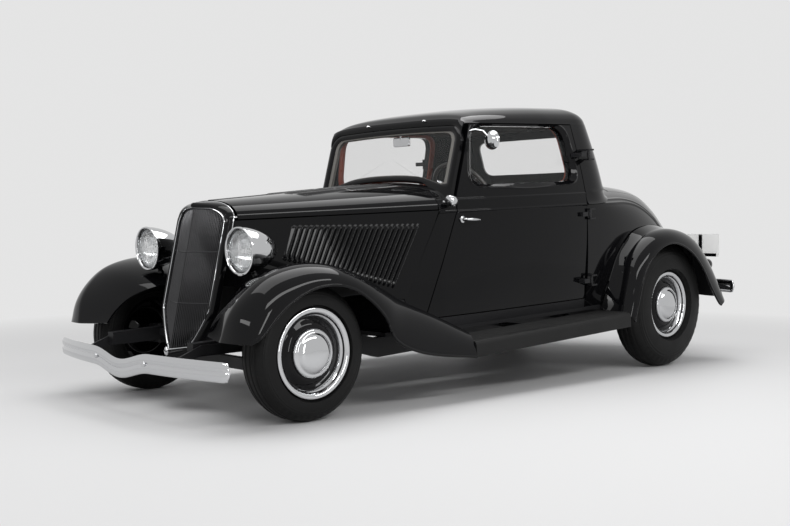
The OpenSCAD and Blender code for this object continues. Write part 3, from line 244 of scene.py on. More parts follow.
def tyre_rows(radius, width):
    """Closed rows: r = mix(rim, R, cos(a)^0.55), x = w/2 sin(a)^0.62, less tread grooves, with wall rings."""
    half = width / 2.0
    tread = np.linspace(-tread_share, tread_share, 61) * half
    sine = (np.abs(tread) / half) ** (1.0 / wall_power)
    groove = np.zeros_like(tread)
    for middle in (-0.5, -0.18, 0.18, 0.5):
        groove = np.maximum(groove, np.clip(1.6 - np.abs(tread - middle * half) / 0.003, 0.0, 1.0))
    tall = radius - rim_radius - 0.001
    crown = rim_radius + 0.001 + tall * (1.0 - sine ** 2) ** (0.5 * crown_power) - 0.006 * groove
    angle = np.linspace(math.asin(tread_share ** (1.0 / wall_power)), 1.55, 30)[1:]
    side_r = rim_radius + 0.001 + tall * np.cos(angle) ** crown_power
    side_x = half * np.sin(angle) ** wall_power
    side_x = side_x[side_r > rim_radius + 0.026]
    side_r = side_r[side_r > rim_radius + 0.026]
    share = (side_r - rim_radius) / (radius - rim_radius)
    for middle in (0.62, 0.7, 0.78):
        side_x = side_x + 0.0012 * np.exp(-((share - middle) / 0.02) ** 2)
    foot = [[rim_radius + 0.022, bead_half + 0.002], [rim_radius, bead_half]]
    right = np.concatenate([np.stack([side_r, side_x], -1), foot])
    rows = np.concatenate([right[::-1] * [1.0, -1.0], np.stack([crown, tread], -1), right])
    sink = np.concatenate([np.zeros(len(right)), 0.004 * np.clip(np.abs(tread) / half * 5.0 - 3.1, 0.0, 1.0),
                           np.zeros(len(right))])
    return closed(rows), np.append(sink, 0.0)


rubber = finish("tyre_rubber", (0.006, 0.006, 0.006), 0.4, 0.55, 420.0, 0.12, 0.0, 0.14)
wheel_spots = {"front_left": (0.672, front_y, front_radius, 1.0),
               "front_right": (-0.672, front_y, front_radius, -1.0),
               "rear_left": (0.660, rear_y, rear_radius, 1.0),
               "rear_right": (-0.660, rear_y, rear_radius, -1.0)}


def at_wheel(grid, spot):
    """A grid about the wheel's centre, faced outwards and moved to its place."""
    x, y, z, side = spot
    return grid * [side, side, 1.0] + [x, y, z]


for spot_name, spot in wheel_spots.items():
    rows, sink = tyre_rows(spot[2], 0.168 if "front" in spot_name else 0.206)
    end, hand = spot_name.split("_")
    skin("tyre_" + spot_name, [at_wheel(lathe(rows, 192, sink), spot)], rubber, "tyre",
         body=end + "_wheel_" + hand, nodes=("tyre_" + spot_name,), sharp=50.0)


# Wheels: black pressed-steel rims and discs with wide bright trim rings and bare domed caps, pressed on.
# The disc, ring and cap are turned from rows of radius and depth.
enamel = finish("black_enamel", (0.003, 0.003, 0.0035), 0.05, 0.1, 900.0, 0.004, 0.0, 0.0, 1.0)
chrome = finish("chrome", (0.56, 0.565, 0.575), 0.03, 0.07, 200.0, 0.006, 1.0)
rim_rows = closed([[0.1898, -0.064], [0.1898, 0.064], [0.206, 0.067], [0.208, 0.073], [0.204, 0.0765],
                   [0.198, 0.078], [0.186, 0.074], [0.174, 0.066], [0.174, -0.064]])
disc_rows = closed([[0.0201, -0.026], [0.054, -0.026], [0.060, 0.020], [0.100, 0.044], [0.118, 0.050],
                    [0.134, 0.045], [0.152, 0.034], [0.180, 0.022], [0.180, 0.034], [0.166, 0.036],
                    [0.150, 0.043], [0.136, 0.052], [0.124, 0.0575], [0.112, 0.058], [0.100, 0.054],
                    [0.0201, 0.058]])
ring_face = np.array([[0.2075, 0.0735], [0.2055, 0.0775], [0.201, 0.0803], [0.194, 0.0806], [0.187, 0.0785],
                      [0.1815, 0.0735], [0.1785, 0.0675], [0.1745, 0.064], [0.170, 0.061], [0.165, 0.0545],
                      [0.161, 0.046], [0.1595, 0.040]])
ring_rows = closed(np.concatenate([ring_face, ring_face[::-1] - [0.0015, 0.003]]))
cap_face = np.array([[0.1105, 0.0585], [0.1112, 0.064], [0.110, 0.069], [0.1065, 0.0725], [0.1015, 0.0738],
                     [0.0965, 0.0735], [0.0925, 0.0745], [0.0885, 0.0785], [0.081, 0.0845], [0.070, 0.0895],
                     [0.056, 0.0935], [0.040, 0.0962], [0.022, 0.0976], [0.0, 0.098]])
cap_rows = closed(np.concatenate([cap_face, [[0.0, 0.090]], cap_face[:-1][::-1] - [0.003, 0.006]]))
for spot_name, spot in wheel_spots.items():
    end, hand = spot_name.split("_")
    wheel_body = end + "_wheel_" + hand
    skin("wheel_" + spot_name, [at_wheel(lathe(rim_rows), spot), at_wheel(lathe(disc_rows), spot)], enamel,
         "wheel_paint", body=wheel_body, nodes=("wheel_" + spot_name,), sharp=45.0)
    for piece, rows in (("trim_ring_", ring_rows), ("hub_cap_", cap_rows)):
        skin(piece + spot_name, [at_wheel(lathe(rows), spot)], chrome, "chrome", body=wheel_body, sharp=60.0)


# Cowl: one pressing of black enamelled steel from sill to sill over the firewall, with two rolled beads at
# the belt. It is welded to the floor and carries the windshield and the dash.
def mix(a, b, t):
    """a + (b - a) t."""
    return a + (b - a) * t


def along(table, t, column=1):
    """Cubic through one column of a table at t in its first column, with slopes from the rows each side."""
    table = np.asarray(table, float)
    knot = table[:, 0]
    value = table[:, column]
    last = len(knot) - 1
    ahead = np.minimum(np.arange(last + 1) + 1, last)
    behind = np.maximum(np.arange(last + 1) - 1, 0)
    slope = (value[ahead] - value[behind]) / (knot[ahead] - knot[behind])
    i = np.clip(np.searchsorted(knot, t) - 1, 0, last - 1)
    d = knot[i + 1] - knot[i]
    u = (t - knot[i]) / d
    p, q, m, n = value[i], value[i + 1], slope[i] * d, slope[i + 1] * d
    return p + m * u + (3.0 * (q - p) - 2.0 * m - n) * u ** 2 + (2.0 * (p - q) + m + n) * u ** 3


rake = math.radians(3.0)
belt_h = 0.893
upper_bead_h = 0.957
sill_h = 0.290
roof_edge_h = 1.362
gap = 0.006
wall_t = 0.030
hood_rear = 1.063
hood_length = 1.105
hood_front_half = 0.232
hood_rear_half = 0.530
cabin_half = 0.665
arch_power = 2.4
plan_power = 2.6
windshield_lean = math.radians(17.7)
deck_top = 1.015
cab_low = 0.375
cab_high = 0.285
roof_rear = 0.556
tail_front = 2.200


def place(points):
    """Body axes (x, s, h) to the part's frame: y = s cos r - h sin r + front, z = s sin r + h cos r."""
    x, s, h = np.moveaxis(np.asarray(points, float), -1, 0)
    return np.stack([x, s * math.cos(rake) - h * math.sin(rake) + front_y,
                     s * math.sin(rake) + h * math.cos(rake)], -1)


def hood_crown(s):
    """Height of the hood's ridge at s."""
    return 1.003 + 0.0476 * s


def hood_half(s):
    """Half width of the hood at s."""
    return mix(hood_front_half, hood_rear_half, (s + 0.030) / hood_length)


def belt_half(s):
    """Half width at the belt: hood, then w - dw ((s2 - s) / L)^1.7, then a superellipse of power 2.6."""
    cabin = cabin_half - 0.135 * (np.maximum(tail_front - s, 0.0) / 1.125) ** 1.7
    inside = np.maximum(1.0 - (np.maximum(s - tail_front, 0.0) / 1.5) ** plan_power, 0.0)
    tail = cabin_half * inside ** (1.0 / plan_power)
    return np.where(s < 1.075, hood_half(s), np.where(s < tail_front, cabin, tail))


def roof_half(s):
    """Half width of the roof's edge at s."""
    return mix(0.540, roof_rear, np.clip((s - 1.25) / 0.7, 0.0, 1.0))


def side_half(s, h):
    """Half width of the side: belt less a tuck squared below it, and drawn in to the roof edge above it."""
    tuck = 0.012 + 0.030 * np.clip((s - 1.075) / 0.6, 0.0, 1.0)
    low = belt_half(s) - tuck * (np.maximum(belt_h - h, 0.0) / (belt_h - sill_h)) ** 2
    share = np.clip((h - belt_h) / (roof_edge_h - belt_h), 0.0, 1.2) ** 1.3
    return np.where(h < belt_h, low, mix(belt_half(s), np.minimum(roof_half(s), belt_half(s)), share))


def windshield_at(h):
    """s of the leaning windshield plane at height h."""
    return 1.145 + math.tan(windshield_lean) * (h - 1.0)


def cowl_front(h):
    """s of the cowl's front edge at height h."""
    return hood_rear + 0.48 * (np.minimum(h, belt_h) - belt_h)


def door_front(h):
    """s of the door's front edge at height h: slanted below the belt, beside the windshield post above."""
    return np.maximum(1.175 + 0.372 * (np.minimum(h, belt_h) - belt_h), windshield_at(h) + 0.036)


def normals(grid, core):
    """Unit normals of a grid, facing away from a core point or points."""
    n = np.cross(np.gradient(grid, axis=0), np.gradient(grid, axis=1))
    n = n / np.maximum(np.linalg.norm(n, axis=-1, keepdims=True), 1e-12)
    return n * np.where(np.sum(n * (grid - core), -1, keepdims=True) < 0.0, -1.0, 1.0)


def bead(distance, half, rise):
    """A rolled bead of a given half width: rise cos^2(pi d / 2 w)."""
    return rise * np.cos(0.5 * np.pi * np.clip(np.abs(distance) / half, 0.0, 1.0)) ** 2


def belt_beads(h):
    """Rise of the two belt beads at height h, and of the band between them."""
    band = 0.002 * np.clip(np.minimum(h - belt_h, upper_bead_h - h) / 0.008, 0.0, 1.0)
    return bead(h - belt_h, 0.009, 0.006) + bead(h - upper_bead_h, 0.009, 0.005) + band


def mirrored(grid):
    """The same grid on the other side of the car."""
    return grid * [-1.0, 1.0, 1.0]


def core_line(grid, h):
    """Points on the car's centre plane at height h, level with a grid's own points."""
    core = grid.copy()
    core[..., 0] = 0.0
    core[..., 2] = h
    return core


def cowl_grid():
    """Rows from the hood edge to the door edge; columns up one side, over the arch and down the other."""
    u = np.linspace(0.0, 1.0, 14)[:, None]
    h = np.concatenate([np.linspace(sill_h, 0.86, 24), np.linspace(0.864, 0.8925, 12)])
    s = mix(cowl_front(h), door_front(h) - gap, u)
    left = np.stack([side_half(s, h + 0.0 * u), s, h + 0.0 * u], -1)
    angle = np.linspace(0.0, np.pi, 121)
    sine = np.sin(angle)
    s = mix(hood_rear, 1.169 - 0.005 * sine, u)
    cosine = np.sign(np.cos(angle)) * np.abs(np.cos(angle)) ** (2.0 / arch_power)
    rise = (hood_crown(s) - belt_h) * sine ** (2.0 / arch_power)
    over = np.stack([belt_half(s) * cosine, s, belt_h + rise], -1)
    return np.concatenate([left, over, mirrored(left[:, ::-1])], 1)


cowl = cowl_grid()
cowl_n = normals(cowl, core_line(cowl, 0.5))
cowl_out = cowl + cowl_n * belt_beads(cowl[..., 2])[..., None]
sheet("cowl", [place(cowl_out)], [place(cowl - wall_t * cowl_n)], enamel, "paint", nodes=("cowl",))


# Windshield: a flat leaning steel frame with rounded upper corners, its foot following the cowl's arch.
# Black enamel outside, a grey rubber channel round the glass, screwed to the posts.
def cowl_top(x, s):
    """Height of the cowl's arch at x and s."""
    share = np.maximum(1.0 - (np.abs(x) / belt_half(s)) ** arch_power, 0.0) ** (1.0 / arch_power)
    return belt_h + (hood_crown(s) - belt_h) * share


def rounded(corners, radius, steps=10):
    """A closed loop through rounded corners, each a quadratic curve between its two tangent points."""
    corners = np.asarray(corners, float)
    before = np.roll(corners, 1, 0) - corners
    after = np.roll(corners, -1, 0) - corners
    start = corners + radius * before / np.linalg.norm(before, axis=1, keepdims=True)
    stop = corners + radius * after / np.linalg.norm(after, axis=1, keepdims=True)
    t = np.linspace(0.0, 1.0, steps + 1)[:, None]
    return np.concatenate([(1 - t) ** 2 * a + 2 * t * (1 - t) * c + t ** 2 * b
                           for a, c, b in zip(start, corners, stop)])


def facing(outer, loop, centre):
    """For each outer point, the point of a loop seen in the same direction from a centre."""
    loop = np.concatenate([mix(loop, np.roll(loop, -1, 0), t) for t in np.linspace(0.0, 0.95, 20)])
    rays = loop - centre
    angle = np.arctan2(rays[:, 1], rays[:, 0])
    order = np.argsort(angle)
    aim = np.arctan2(outer[:, 1] - centre[1], outer[:, 0] - centre[0])
    reach = np.interp(aim, angle[order], np.linalg.norm(rays, axis=1)[order], period=2.0 * np.pi)
    return centre + reach[:, None] * np.stack([np.cos(aim), np.sin(aim)], -1)


def ring(outer, inner, rows):
    """A grid of flat points between two matched closed loops."""
    t = np.linspace(0.0, 1.0, rows)[:, None, None]
    return mix(closed(outer), closed(inner), t)


def on_windshield(flat, back=0.0):
    """Flat points (x, h) on the windshield's plane, some way behind its face."""
    s = windshield_at(flat[..., 1]) + back * math.cos(windshield_lean)
    return place(np.stack([flat[..., 0], s, flat[..., 1] - back * math.sin(windshield_lean)], -1))


windshield_half = 0.538


def windshield_head(x, half, inset):
    """Height of the frame's upper edge at x: a slight bow, with round corners of 85 mm less the inset."""
    radius = 0.085 - inset
    over = np.maximum(np.abs(x) - half + radius, 0.0)
    drop = radius - np.sqrt(np.maximum(radius ** 2 - over ** 2, 0.0))
    return 1.349 + 0.014 * (1.0 - (x / windshield_half) ** 2) - inset - drop


def windshield_loop(half, inset, count):
    """The frame's outline: along the cowl's arch at its foot, and along a slight bow at its head."""
    x = half * np.sin(0.5 * np.pi * np.linspace(-1.0, 1.0, count))
    foot = cowl_top(x, 1.163) + 0.0079 + inset
    head = windshield_head(x, half, inset)
    left = np.stack([np.full(14, half), np.linspace(foot[-1], head[-1], 16)[1:-1]], -1)
    return np.concatenate([np.stack([x, foot], -1), left, np.stack([x, head], -1)[::-1],
                           left[::-1] * [-1.0, 1.0]])


frame_outer = windshield_loop(windshield_half, 0.0, 61)
frame_eye = np.array([0.0, 1.2])
sight = windshield_loop(0.494, 0.030, 61)
frame_inner = facing(frame_outer, sight, frame_eye)
grey_rubber = finish("grey_rubber", (0.13, 0.125, 0.115), 0.5, 0.65, 500.0, 0.08)
garnish = finish("garnish_paint", (0.27, 0.05, 0.022), 0.25, 0.4, 600.0, 0.05)
frame_flat = ring(frame_outer, frame_inner, 9)
frame_rise = 0.006 * np.sin(np.linspace(0.0, np.pi, 9))[:, None]
sheet("windshield_frame", [on_windshield(frame_flat, -frame_rise)], [on_windshield(frame_flat, 0.024)],
      enamel, "paint", nodes=("windshield_frame",))
channel_inner = mix(frame_inner, frame_eye, 0.05)
channel_flat = ring(frame_inner, channel_inner, 5)
sheet("windshield_channel", [on_windshield(channel_flat, 0.004)], [on_windshield(channel_flat, 0.022)],
      grey_rubber, "garnish")


# Cab glass: clear flat plate in the windshield and a curved pane in the back, each set in its channel.
# The windshield pane is one flat sheet within its rubber.
def clear_glass(name, tint):
    """Clear glass: smooth transmission with a faint tint."""
    material = bpy.data.materials.new(name)
    material.use_nodes = True
    shader = material.node_tree.nodes["Principled BSDF"]
    shader.inputs["Base Color"].default_value = (*tint, 1.0)
    shader.inputs["Transmission Weight"].default_value = 1.0
    shader.inputs["Roughness"].default_value = 0.0
    shader.inputs["IOR"].default_value = 1.45
    return material


def window_glass():
    """Thin plate glass: almost all let straight through, and the rest mirrored at about 2 % a face."""
    material = bpy.data.materials.new("window_glass")
    material.use_nodes = True
    shader = material.node_tree.nodes["Principled BSDF"]
    shader.inputs["Base Color"].default_value = (0.02, 0.03, 0.03, 1.0)
    shader.inputs["Alpha"].default_value = 0.05
    shader.inputs["Roughness"].default_value = 0.0
    shader.inputs["IOR"].default_value = 4.0
    return material


glass = window_glass()
pane_flat = ring(channel_inner, frame_eye + 0.0 * channel_inner, 4)
sheet("windshield_pane", [on_windshield(pane_flat, 0.010)], [on_windshield(pane_flat, 0.016)], glass, "glass",
      nodes=("cab_glass",))


# Roof: one deep pressing of black enamelled steel, crowned both ways and rounded at the back, welded to the
# posts and the cab's back. A header strip closes it down to the windshield's frame.
# Columns of a row: its number, and its shares of the half width, of the depth behind and of the rise.
roof_rows = np.array([[0, 1, 1, 0], [1, 0.968, 0.954, 0.3], [2, 0.905, 0.828, 0.56], [3, 0.785, 0.626, 0.78],
                      [4, 0.585, 0.392, 0.92], [5, 0.325, 0.173, 0.985], [6, 0.06, 0.03, 1], [6.4, 0, 0, 1]])
roof_front = 1.262
roof_top = 1.486
roof_crown = np.array([[roof_front, 1.396], [1.307, 1.426], [1.400, 1.446], [1.579, 1.465], [1.881, 1.481],
                       [tail_front, roof_top]])


def plan_round(a, b, angle):
    """A superellipse of power 2.6 in plan behind the doors: half width a, depth b."""
    back = np.maximum(np.sin(angle), 0.0) ** (2.0 / plan_power)
    return a * np.cos(angle) ** (2.0 / plan_power), tail_front + b * back


def smooth_angles(count):
    """Angles from 0 to a right angle, closer together at both ends where the superellipse turns fast."""
    t = np.linspace(0.0, 1.0, count)
    return 0.5 * np.pi * (t - np.sin(2.0 * np.pi * t) / (2.0 * np.pi) * 0.6)


def roof_grid():
    """Half of the roof: rows from its edge to its ridge, columns from the windshield round to the back."""
    t = np.concatenate([np.linspace(0.0, 6.0, 49), [6.4]])[:, None]
    fx, fy, fz = (along(roof_rows, t, k) for k in (1, 2, 3))
    s = np.concatenate([np.linspace(roof_front, 1.40, 16), np.linspace(1.42, 2.19, 40)])
    side = np.stack([fx * roof_half(s), s + 0.0 * t, mix(roof_edge_h, along(roof_crown, s), fz)], -1)
    angle = smooth_angles(44)
    x, back = plan_round(fx * roof_rear, fy * cab_high, angle)
    end = np.stack([np.maximum(x, 0.0), back, mix(roof_edge_h, roof_top, fz) + 0.0 * back], -1)
    return np.concatenate([side, end], 1)


roof = roof_grid()
roof_core = np.stack([0.0 * roof[..., 0], np.clip(roof[..., 1], 1.4, 2.3), 0.0 * roof[..., 2] + 0.9], -1)
roof_in = roof - wall_t * normals(roof, roof_core)
roof_in[0, :, 2] = roof_edge_h
roof_in[-3:, :, 0] = roof[-3:, :, 0]


def both_sides(*grids):
    """Grids of the left side in body axes, placed, and then their images on the right."""
    return [place(grid) for grid in grids] + [place(mirrored(grid)) for grid in grids]


sheet("roof_panel", both_sides(roof), both_sides(roof_in), enamel, "paint", nodes=("roof_panel",), sharp=60.0)


def tube(path, radius, sides=10):
    """Closed grids of a round tube along a path (n, 3), with flat ends: the side, and a disc at each end."""
    path = np.asarray(path, float)
    tangent = np.gradient(path, axis=0)
    tangent = tangent / np.linalg.norm(tangent, axis=1, keepdims=True)
    up = np.where(np.abs(tangent[:, 2:]) > 0.9, [1.0, 0.0, 0.0], [0.0, 0.0, 1.0])
    across = np.cross(tangent, up)
    across = across / np.linalg.norm(across, axis=1, keepdims=True)
    angle = np.linspace(0.0, 2.0 * np.pi, sides + 1)
    radius = np.broadcast_to(np.asarray(radius, float), (len(path),))[:, None, None]
    upright = np.cross(across, tangent)
    spoke = np.cos(angle)[:, None] * across[:, None] + np.sin(angle)[:, None] * upright[:, None]
    side = path[:, None] + radius * spoke
    return [side] + [np.stack([side[k], np.broadcast_to(path[k], side[k].shape)]) for k in (0, -1)]


header_x = np.linspace(-0.535, 0.535, 81)
front_edge = roof[::-1, 0]
header_h = np.interp(np.abs(header_x), front_edge[:, 0], front_edge[:, 2])
header_top = np.stack([header_x, 0.0 * header_x + roof_front, header_h], -1)
header_low = windshield_head(header_x, windshield_half, 0.0)
header_low = np.stack([header_x, windshield_at(header_low) - 0.003, header_low], -1)
header = mix(header_top, header_low, np.linspace(0.0, 1.0, 6)[:, None, None])
header[..., 1] -= 0.006 * np.sin(np.linspace(0.0, np.pi, 6))[:, None]
sheet("roof_header", [place(header)], [place(header + [0.0, 0.004, 0.0])], enamel, "paint")
wiper_posts = []
for x in (-0.21, 0.25):
    post = np.array([[x, roof_front, 1.386], [x, 1.246, 1.390], [x, 1.238, 1.390]])
    wiper_posts += tube(place(post), [0.007, 0.006, 0.004], 12)
skin("wiper_posts", wiper_posts, chrome, "chrome")


# Cab back: the wall between roof and deck, rounded in plan with a flared foot and the rear window cut in it.
# Black enamelled steel, welded to the roof and the quarters.
def cab_point(angle, t):
    """Cab wall at a plan angle and a share of the way up: superellipse in plan, foot from belt to deck."""
    low = mix(belt_h, deck_top, np.sin(angle) ** 2)
    h = mix(low, roof_edge_h, t)
    x, s = plan_round(side_half(tail_front, h), mix(cab_low, cab_high, t ** 1.4), angle)
    return np.stack([np.maximum(x, 0.0), s, h + 0.0 * x], -1)


pane_edge = 0.50
door_gap_s = np.linspace(2.151, 2.195, 4)


def cab_side():
    """Half of the cab wall from the door to x = pane_edge: rows up the wall, columns round it."""
    t = np.linspace(0.0, 1.0, 41)[:, None]
    last = np.full_like(t, 0.8)
    for _ in range(40):
        h = mix(mix(belt_h, deck_top, np.sin(last) ** 2), roof_edge_h, t)
        last = np.arccos((pane_edge / side_half(tail_front, h)) ** (0.5 * plan_power))
    angle = last * smooth_angles(36) / (0.5 * np.pi)
    grid = cab_point(angle, t + 0.0 * angle)
    s = door_gap_s + 0.0 * t
    h = mix(belt_h, roof_edge_h, t) + 0.0 * s
    return np.concatenate([np.stack([side_half(s, h), s, h], -1), grid], 1)


def cab_rear(flat):
    """Flat points (x, h) on the cab wall's back: s from the superellipse at that height."""
    x, h = np.abs(flat[..., 0]), flat[..., 1]
    half = side_half(tail_front, h)
    share = np.maximum(1.0 - (x / half) ** plan_power, 0.0)
    low = mix(belt_h, deck_top, share)
    t = np.clip((h - low) / (roof_edge_h - low), 0.0, 1.0)
    s = tail_front + mix(cab_low, cab_high, t ** 1.4) * share ** (1.0 / plan_power)
    return np.stack([flat[..., 0], s, h], -1)


cab_wall = cab_side()
cab_edge = cab_wall[:, -1]
foot_x = np.linspace(pane_edge, -pane_edge, 41)
foot_t = (1.0 - (np.abs(foot_x) / side_half(tail_front, cab_edge[0, 2])) ** plan_power)
foot_h = mix(belt_h, deck_top, foot_t)
foot_h += (cab_edge[0, 2] - foot_h[0]) * (np.abs(foot_x) / pane_edge) ** 8
rear_outer = np.concatenate([cab_edge[:, [0, 2]][::-1], np.stack([foot_x, foot_h], -1)[1:-1],
                             cab_edge[:, [0, 2]] * [-1.0, 1.0],
                             np.stack([foot_x[::-1], 0.0 * foot_x + roof_edge_h], -1)[1:-1]])
rear_eye = np.array([0.0, 1.19])
rear_sight = rounded([[0.43, 1.088], [0.43, 1.306], [-0.43, 1.306], [-0.43, 1.088]], 0.06)
rear_inner = facing(rear_outer, rear_sight, rear_eye)
rear_grid = cab_rear(ring(rear_outer, rear_inner, 14))
near_edge = slice(0, len(cab_edge))
far_edge = slice(len(cab_edge) + len(foot_x) - 2, 2 * len(cab_edge) + len(foot_x) - 2)
rear_grid[0, near_edge] = cab_edge[::-1]
rear_grid[0, far_edge] = mirrored(cab_edge)


def flared(grid):
    """Cab wall points pushed out near the foot, with the upper belt bead."""
    foot = mix(belt_h, deck_top, np.clip((grid[..., 1] - tail_front) / cab_low, 0.0, 1.0) ** plan_power)
    core = core_line(grid, 1.1)
    core[..., 1] = np.minimum(grid[..., 1], 2.3)
    n = normals(grid, core)
    n[..., 2] = 0.0
    line = np.interp(grid[..., 1], [2.15, 2.35, 2.55], [upper_bead_h, 0.972, 1.020])
    flare = 0.016 * np.exp(-np.maximum(grid[..., 2] - foot, 0.0) / 0.012)
    return n * (flare + bead(grid[..., 2] - line, 0.009, 0.005))[..., None], n


side_push, side_n = flared(cab_wall)
rear_push, rear_n = flared(rear_grid)
rear_push[0, near_edge] = side_push[::-1, -1]
rear_push[0, far_edge] = mirrored(side_push[:, -1])
cab_outer = [cab_wall + side_push, mirrored(cab_wall + side_push), rear_grid + rear_push]
cab_inner = [cab_wall - wall_t * side_n, mirrored(cab_wall - wall_t * side_n), rear_grid - wall_t * rear_n]
sheet("cab_back", [place(g) for g in cab_outer], [place(g) for g in cab_inner], enamel, "paint",
      nodes=("cab_back",))
pane_grid = cab_rear(ring(rear_inner, rear_eye + 0.0 * rear_inner, 8))
sheet("rear_pane", [place(pane_grid - [0.0, 0.010, 0.0])], [place(pane_grid - [0.0, 0.016, 0.0])], glass,
      "glass")


# Quarters: the body sides behind the doors, cut round the wheel houses, with the belt beads running down
# towards the fenders. Black enamelled steel, welded to cab, tail and floor.
# Columns of a row: share of the way down, half width, depth, height at the side and height at the back.
tail_rows = np.array([[0, 0.655, cab_low, belt_h, deck_top], [0.14, 0.662, 0.700, 0.868, 0.998],
                      [0.28, 0.665, 0.930, 0.823, 0.955], [0.4, 0.665, 1.112, 0.763, 0.846],
                      [0.53, 0.664, 1.247, 0.678, 0.737], [0.67, 0.661, 1.392, 0.580, 0.604],
                      [0.8, 0.654, 1.468, 0.470, 0.480], [0.9, 0.642, 1.484, 0.380, 0.380],
                      [1, 0.623, 1.474, 0.290, 0.290]])
rear_wheel_s = wheelbase * math.cos(rake) + rear_radius * math.sin(rake)
rear_wheel_h = rear_radius * math.cos(rake) - wheelbase * math.sin(rake)
arch_radius = 0.425


def tail_point(angle, t):
    """Tail at a plan angle and a share of the way down, from the rows of half width, depth and heights."""
    x, s = plan_round(along(tail_rows, t, 1), along(tail_rows, t, 2), angle)
    h = mix(along(tail_rows, t, 3), along(tail_rows, t, 4), np.sin(angle) ** 2)
    return np.stack([np.maximum(x, 0.0), s, h], -1)


def tail_skins(angle, t, depth):
    """The tail's outer points and those a depth inside, by normals from steps of both parameters."""
    p = tail_point(angle, t)
    a = tail_point(np.minimum(angle + 0.006, 0.5 * np.pi), t) - tail_point(np.maximum(angle - 0.006, 0.0), t)
    b = tail_point(angle, np.minimum(t + 0.004, 1.0)) - tail_point(angle, np.maximum(t - 0.004, 0.0))
    n = np.cross(a, b)
    n = n / np.maximum(np.linalg.norm(n, axis=-1, keepdims=True), 1e-12)
    n = n * np.where(np.sum(n * (p - [0.0, tail_front, 0.55]), -1, keepdims=True) < 0.0, -1.0, 1.0)
    n[..., 0] = np.where(angle > 0.5 * np.pi - 1e-6, 0.0, n[..., 0])
    return p, p - depth * n, n


def arch_share(angle):
    """Share of the way down at which the wheel arch cuts the tail, by halving."""
    lo = np.full_like(angle, 0.3)
    hi = np.ones_like(angle)
    for _ in range(30):
        t = 0.5 * (lo + hi)
        p = tail_point(angle, t)
        drop = arch_radius ** 2 - (p[..., 1] - rear_wheel_s) ** 2
        above = p[..., 2] > np.where(drop > 0.0, rear_wheel_h + np.sqrt(np.maximum(drop, 0.0)), 0.0)
        lo = np.where(above, t, lo)
        hi = np.where(above, hi, t)
    return lo


lid_angle = math.radians(50.0)
quarter_angle = lid_angle * np.linspace(0.0, 1.0, 72)[:, None] ** 0.85
quarter_share = np.linspace(0.0, 1.0, 66)
quarter_t = arch_share(quarter_angle) * quarter_share
quarter_out, quarter_in, quarter_n = tail_skins(quarter_angle + 0.0 * quarter_t, quarter_t, wall_t)


def to_door(grid):
    """A quarter's grid with its first row carried straight forward to the gap behind the door."""
    ahead = np.repeat(grid[:1], len(door_gap_s), 0)
    ahead[..., 1] = door_gap_s[:, None]
    return np.concatenate([ahead, grid])


quarter_out = to_door(quarter_out)
quarter_in = to_door(quarter_in)
quarter_n = np.concatenate([np.repeat(quarter_n[:1], len(door_gap_s), 0), quarter_n])
bead_line = np.array([[2.10, 0.888], [2.45, 0.888], [2.62, 0.884], [2.78, 0.855], [2.945, 0.789],
                      [3.08, 0.710], [3.20, 0.60]])
over_line = quarter_out[..., 2] - along(bead_line, quarter_out[..., 1])
quarter_rise = bead(over_line, 0.011, 0.006) + bead(over_line - 0.024, 0.009, 0.004)
quarter_out = quarter_out + quarter_n * quarter_rise[..., None]
sheet("quarter_panels", both_sides(quarter_out), both_sides(quarter_in), enamel, "paint",
      nodes=("quarter_panels",))


# Tail and deck lid: the upper strip, the lower apron and the lid between them on two hinge arms.
# Black enamelled steel; the lid turns about the hinge pins at the foot of the cab.
def tail_patch(t_low, t_high, first, depth, rows, columns):
    """Both halves of a patch of the tail between two shares and from a first angle to the centre line."""
    t = np.linspace(t_low, t_high, rows)[:, None]
    angle = np.linspace(first, 0.5 * np.pi, columns) + 0.0 * t
    outer, inner = tail_skins(angle, t + 0.0 * angle, depth)[:2]
    return both_sides(outer), both_sides(inner)


def block(low, high):
    """A box as one closed grid between two body-axis corners, all corners shared."""
    x0, s0, h0 = low
    x1, s1, h1 = high
    base = np.array([[x0, s0], [x1, s0], [x1, s1], [x0, s1], [x0, s0]])
    middle = np.array([[(x0 + x1) / 2.0, (s0 + s1) / 2.0]] * 5)
    rows = [(middle, h0), (base, h0), (base, h1), (middle, h1)]
    return np.stack([np.concatenate([flat, np.full((5, 1), h)], 1) for flat, h in rows])


def plate(flat, near, far):
    """A flat outline given thickness from x = near to x = far, with each end closed at its middle."""
    ends = [np.insert(closed(flat), 0, x, axis=1) for x in (near, far)]
    middles = [0.0 * end + end.mean(0) for end in ends]
    return np.stack([middles[0], ends[0], ends[1], middles[1]])


lid_pin_s = 2.654
lid_pin_h = 1.040
upper_out, upper_in = tail_patch(0.0, 0.06, lid_angle, wall_t, 6, 40)
lower_out, lower_in = tail_patch(0.66, 1.0, lid_angle, wall_t, 26, 40)
tail_points, tail_quads = wall(upper_out + lower_out, upper_in + lower_in)
posts = []
for side in (-1.0, 1.0):
    pin_ends = [[side * x, lid_pin_s, lid_pin_h] for x in (0.1907, 0.2493)]
    posts += tube(place(pin_ends), 0.004)
    for x in (0.1907, 0.2403):
        posts.append(place(block((side * x, lid_pin_s - 0.008, 0.998),
                                 (side * (x + 0.009), lid_pin_s + 0.008, lid_pin_h + 0.008))))
post_points, post_quads = weld(posts)[:2]
put("tail_panel", np.concatenate([tail_points, post_points]),
    np.concatenate([tail_quads, post_quads + len(tail_points)]), enamel, "paint", nodes=("tail_panel",))
lid_out, lid_in = tail_patch(0.066, 0.654, lid_angle + math.radians(0.55), 0.024, 60, 48)
sheet("deck_lid", lid_out, lid_in, enamel, "paint", body="deck_lid", nodes=("deck_lid",))
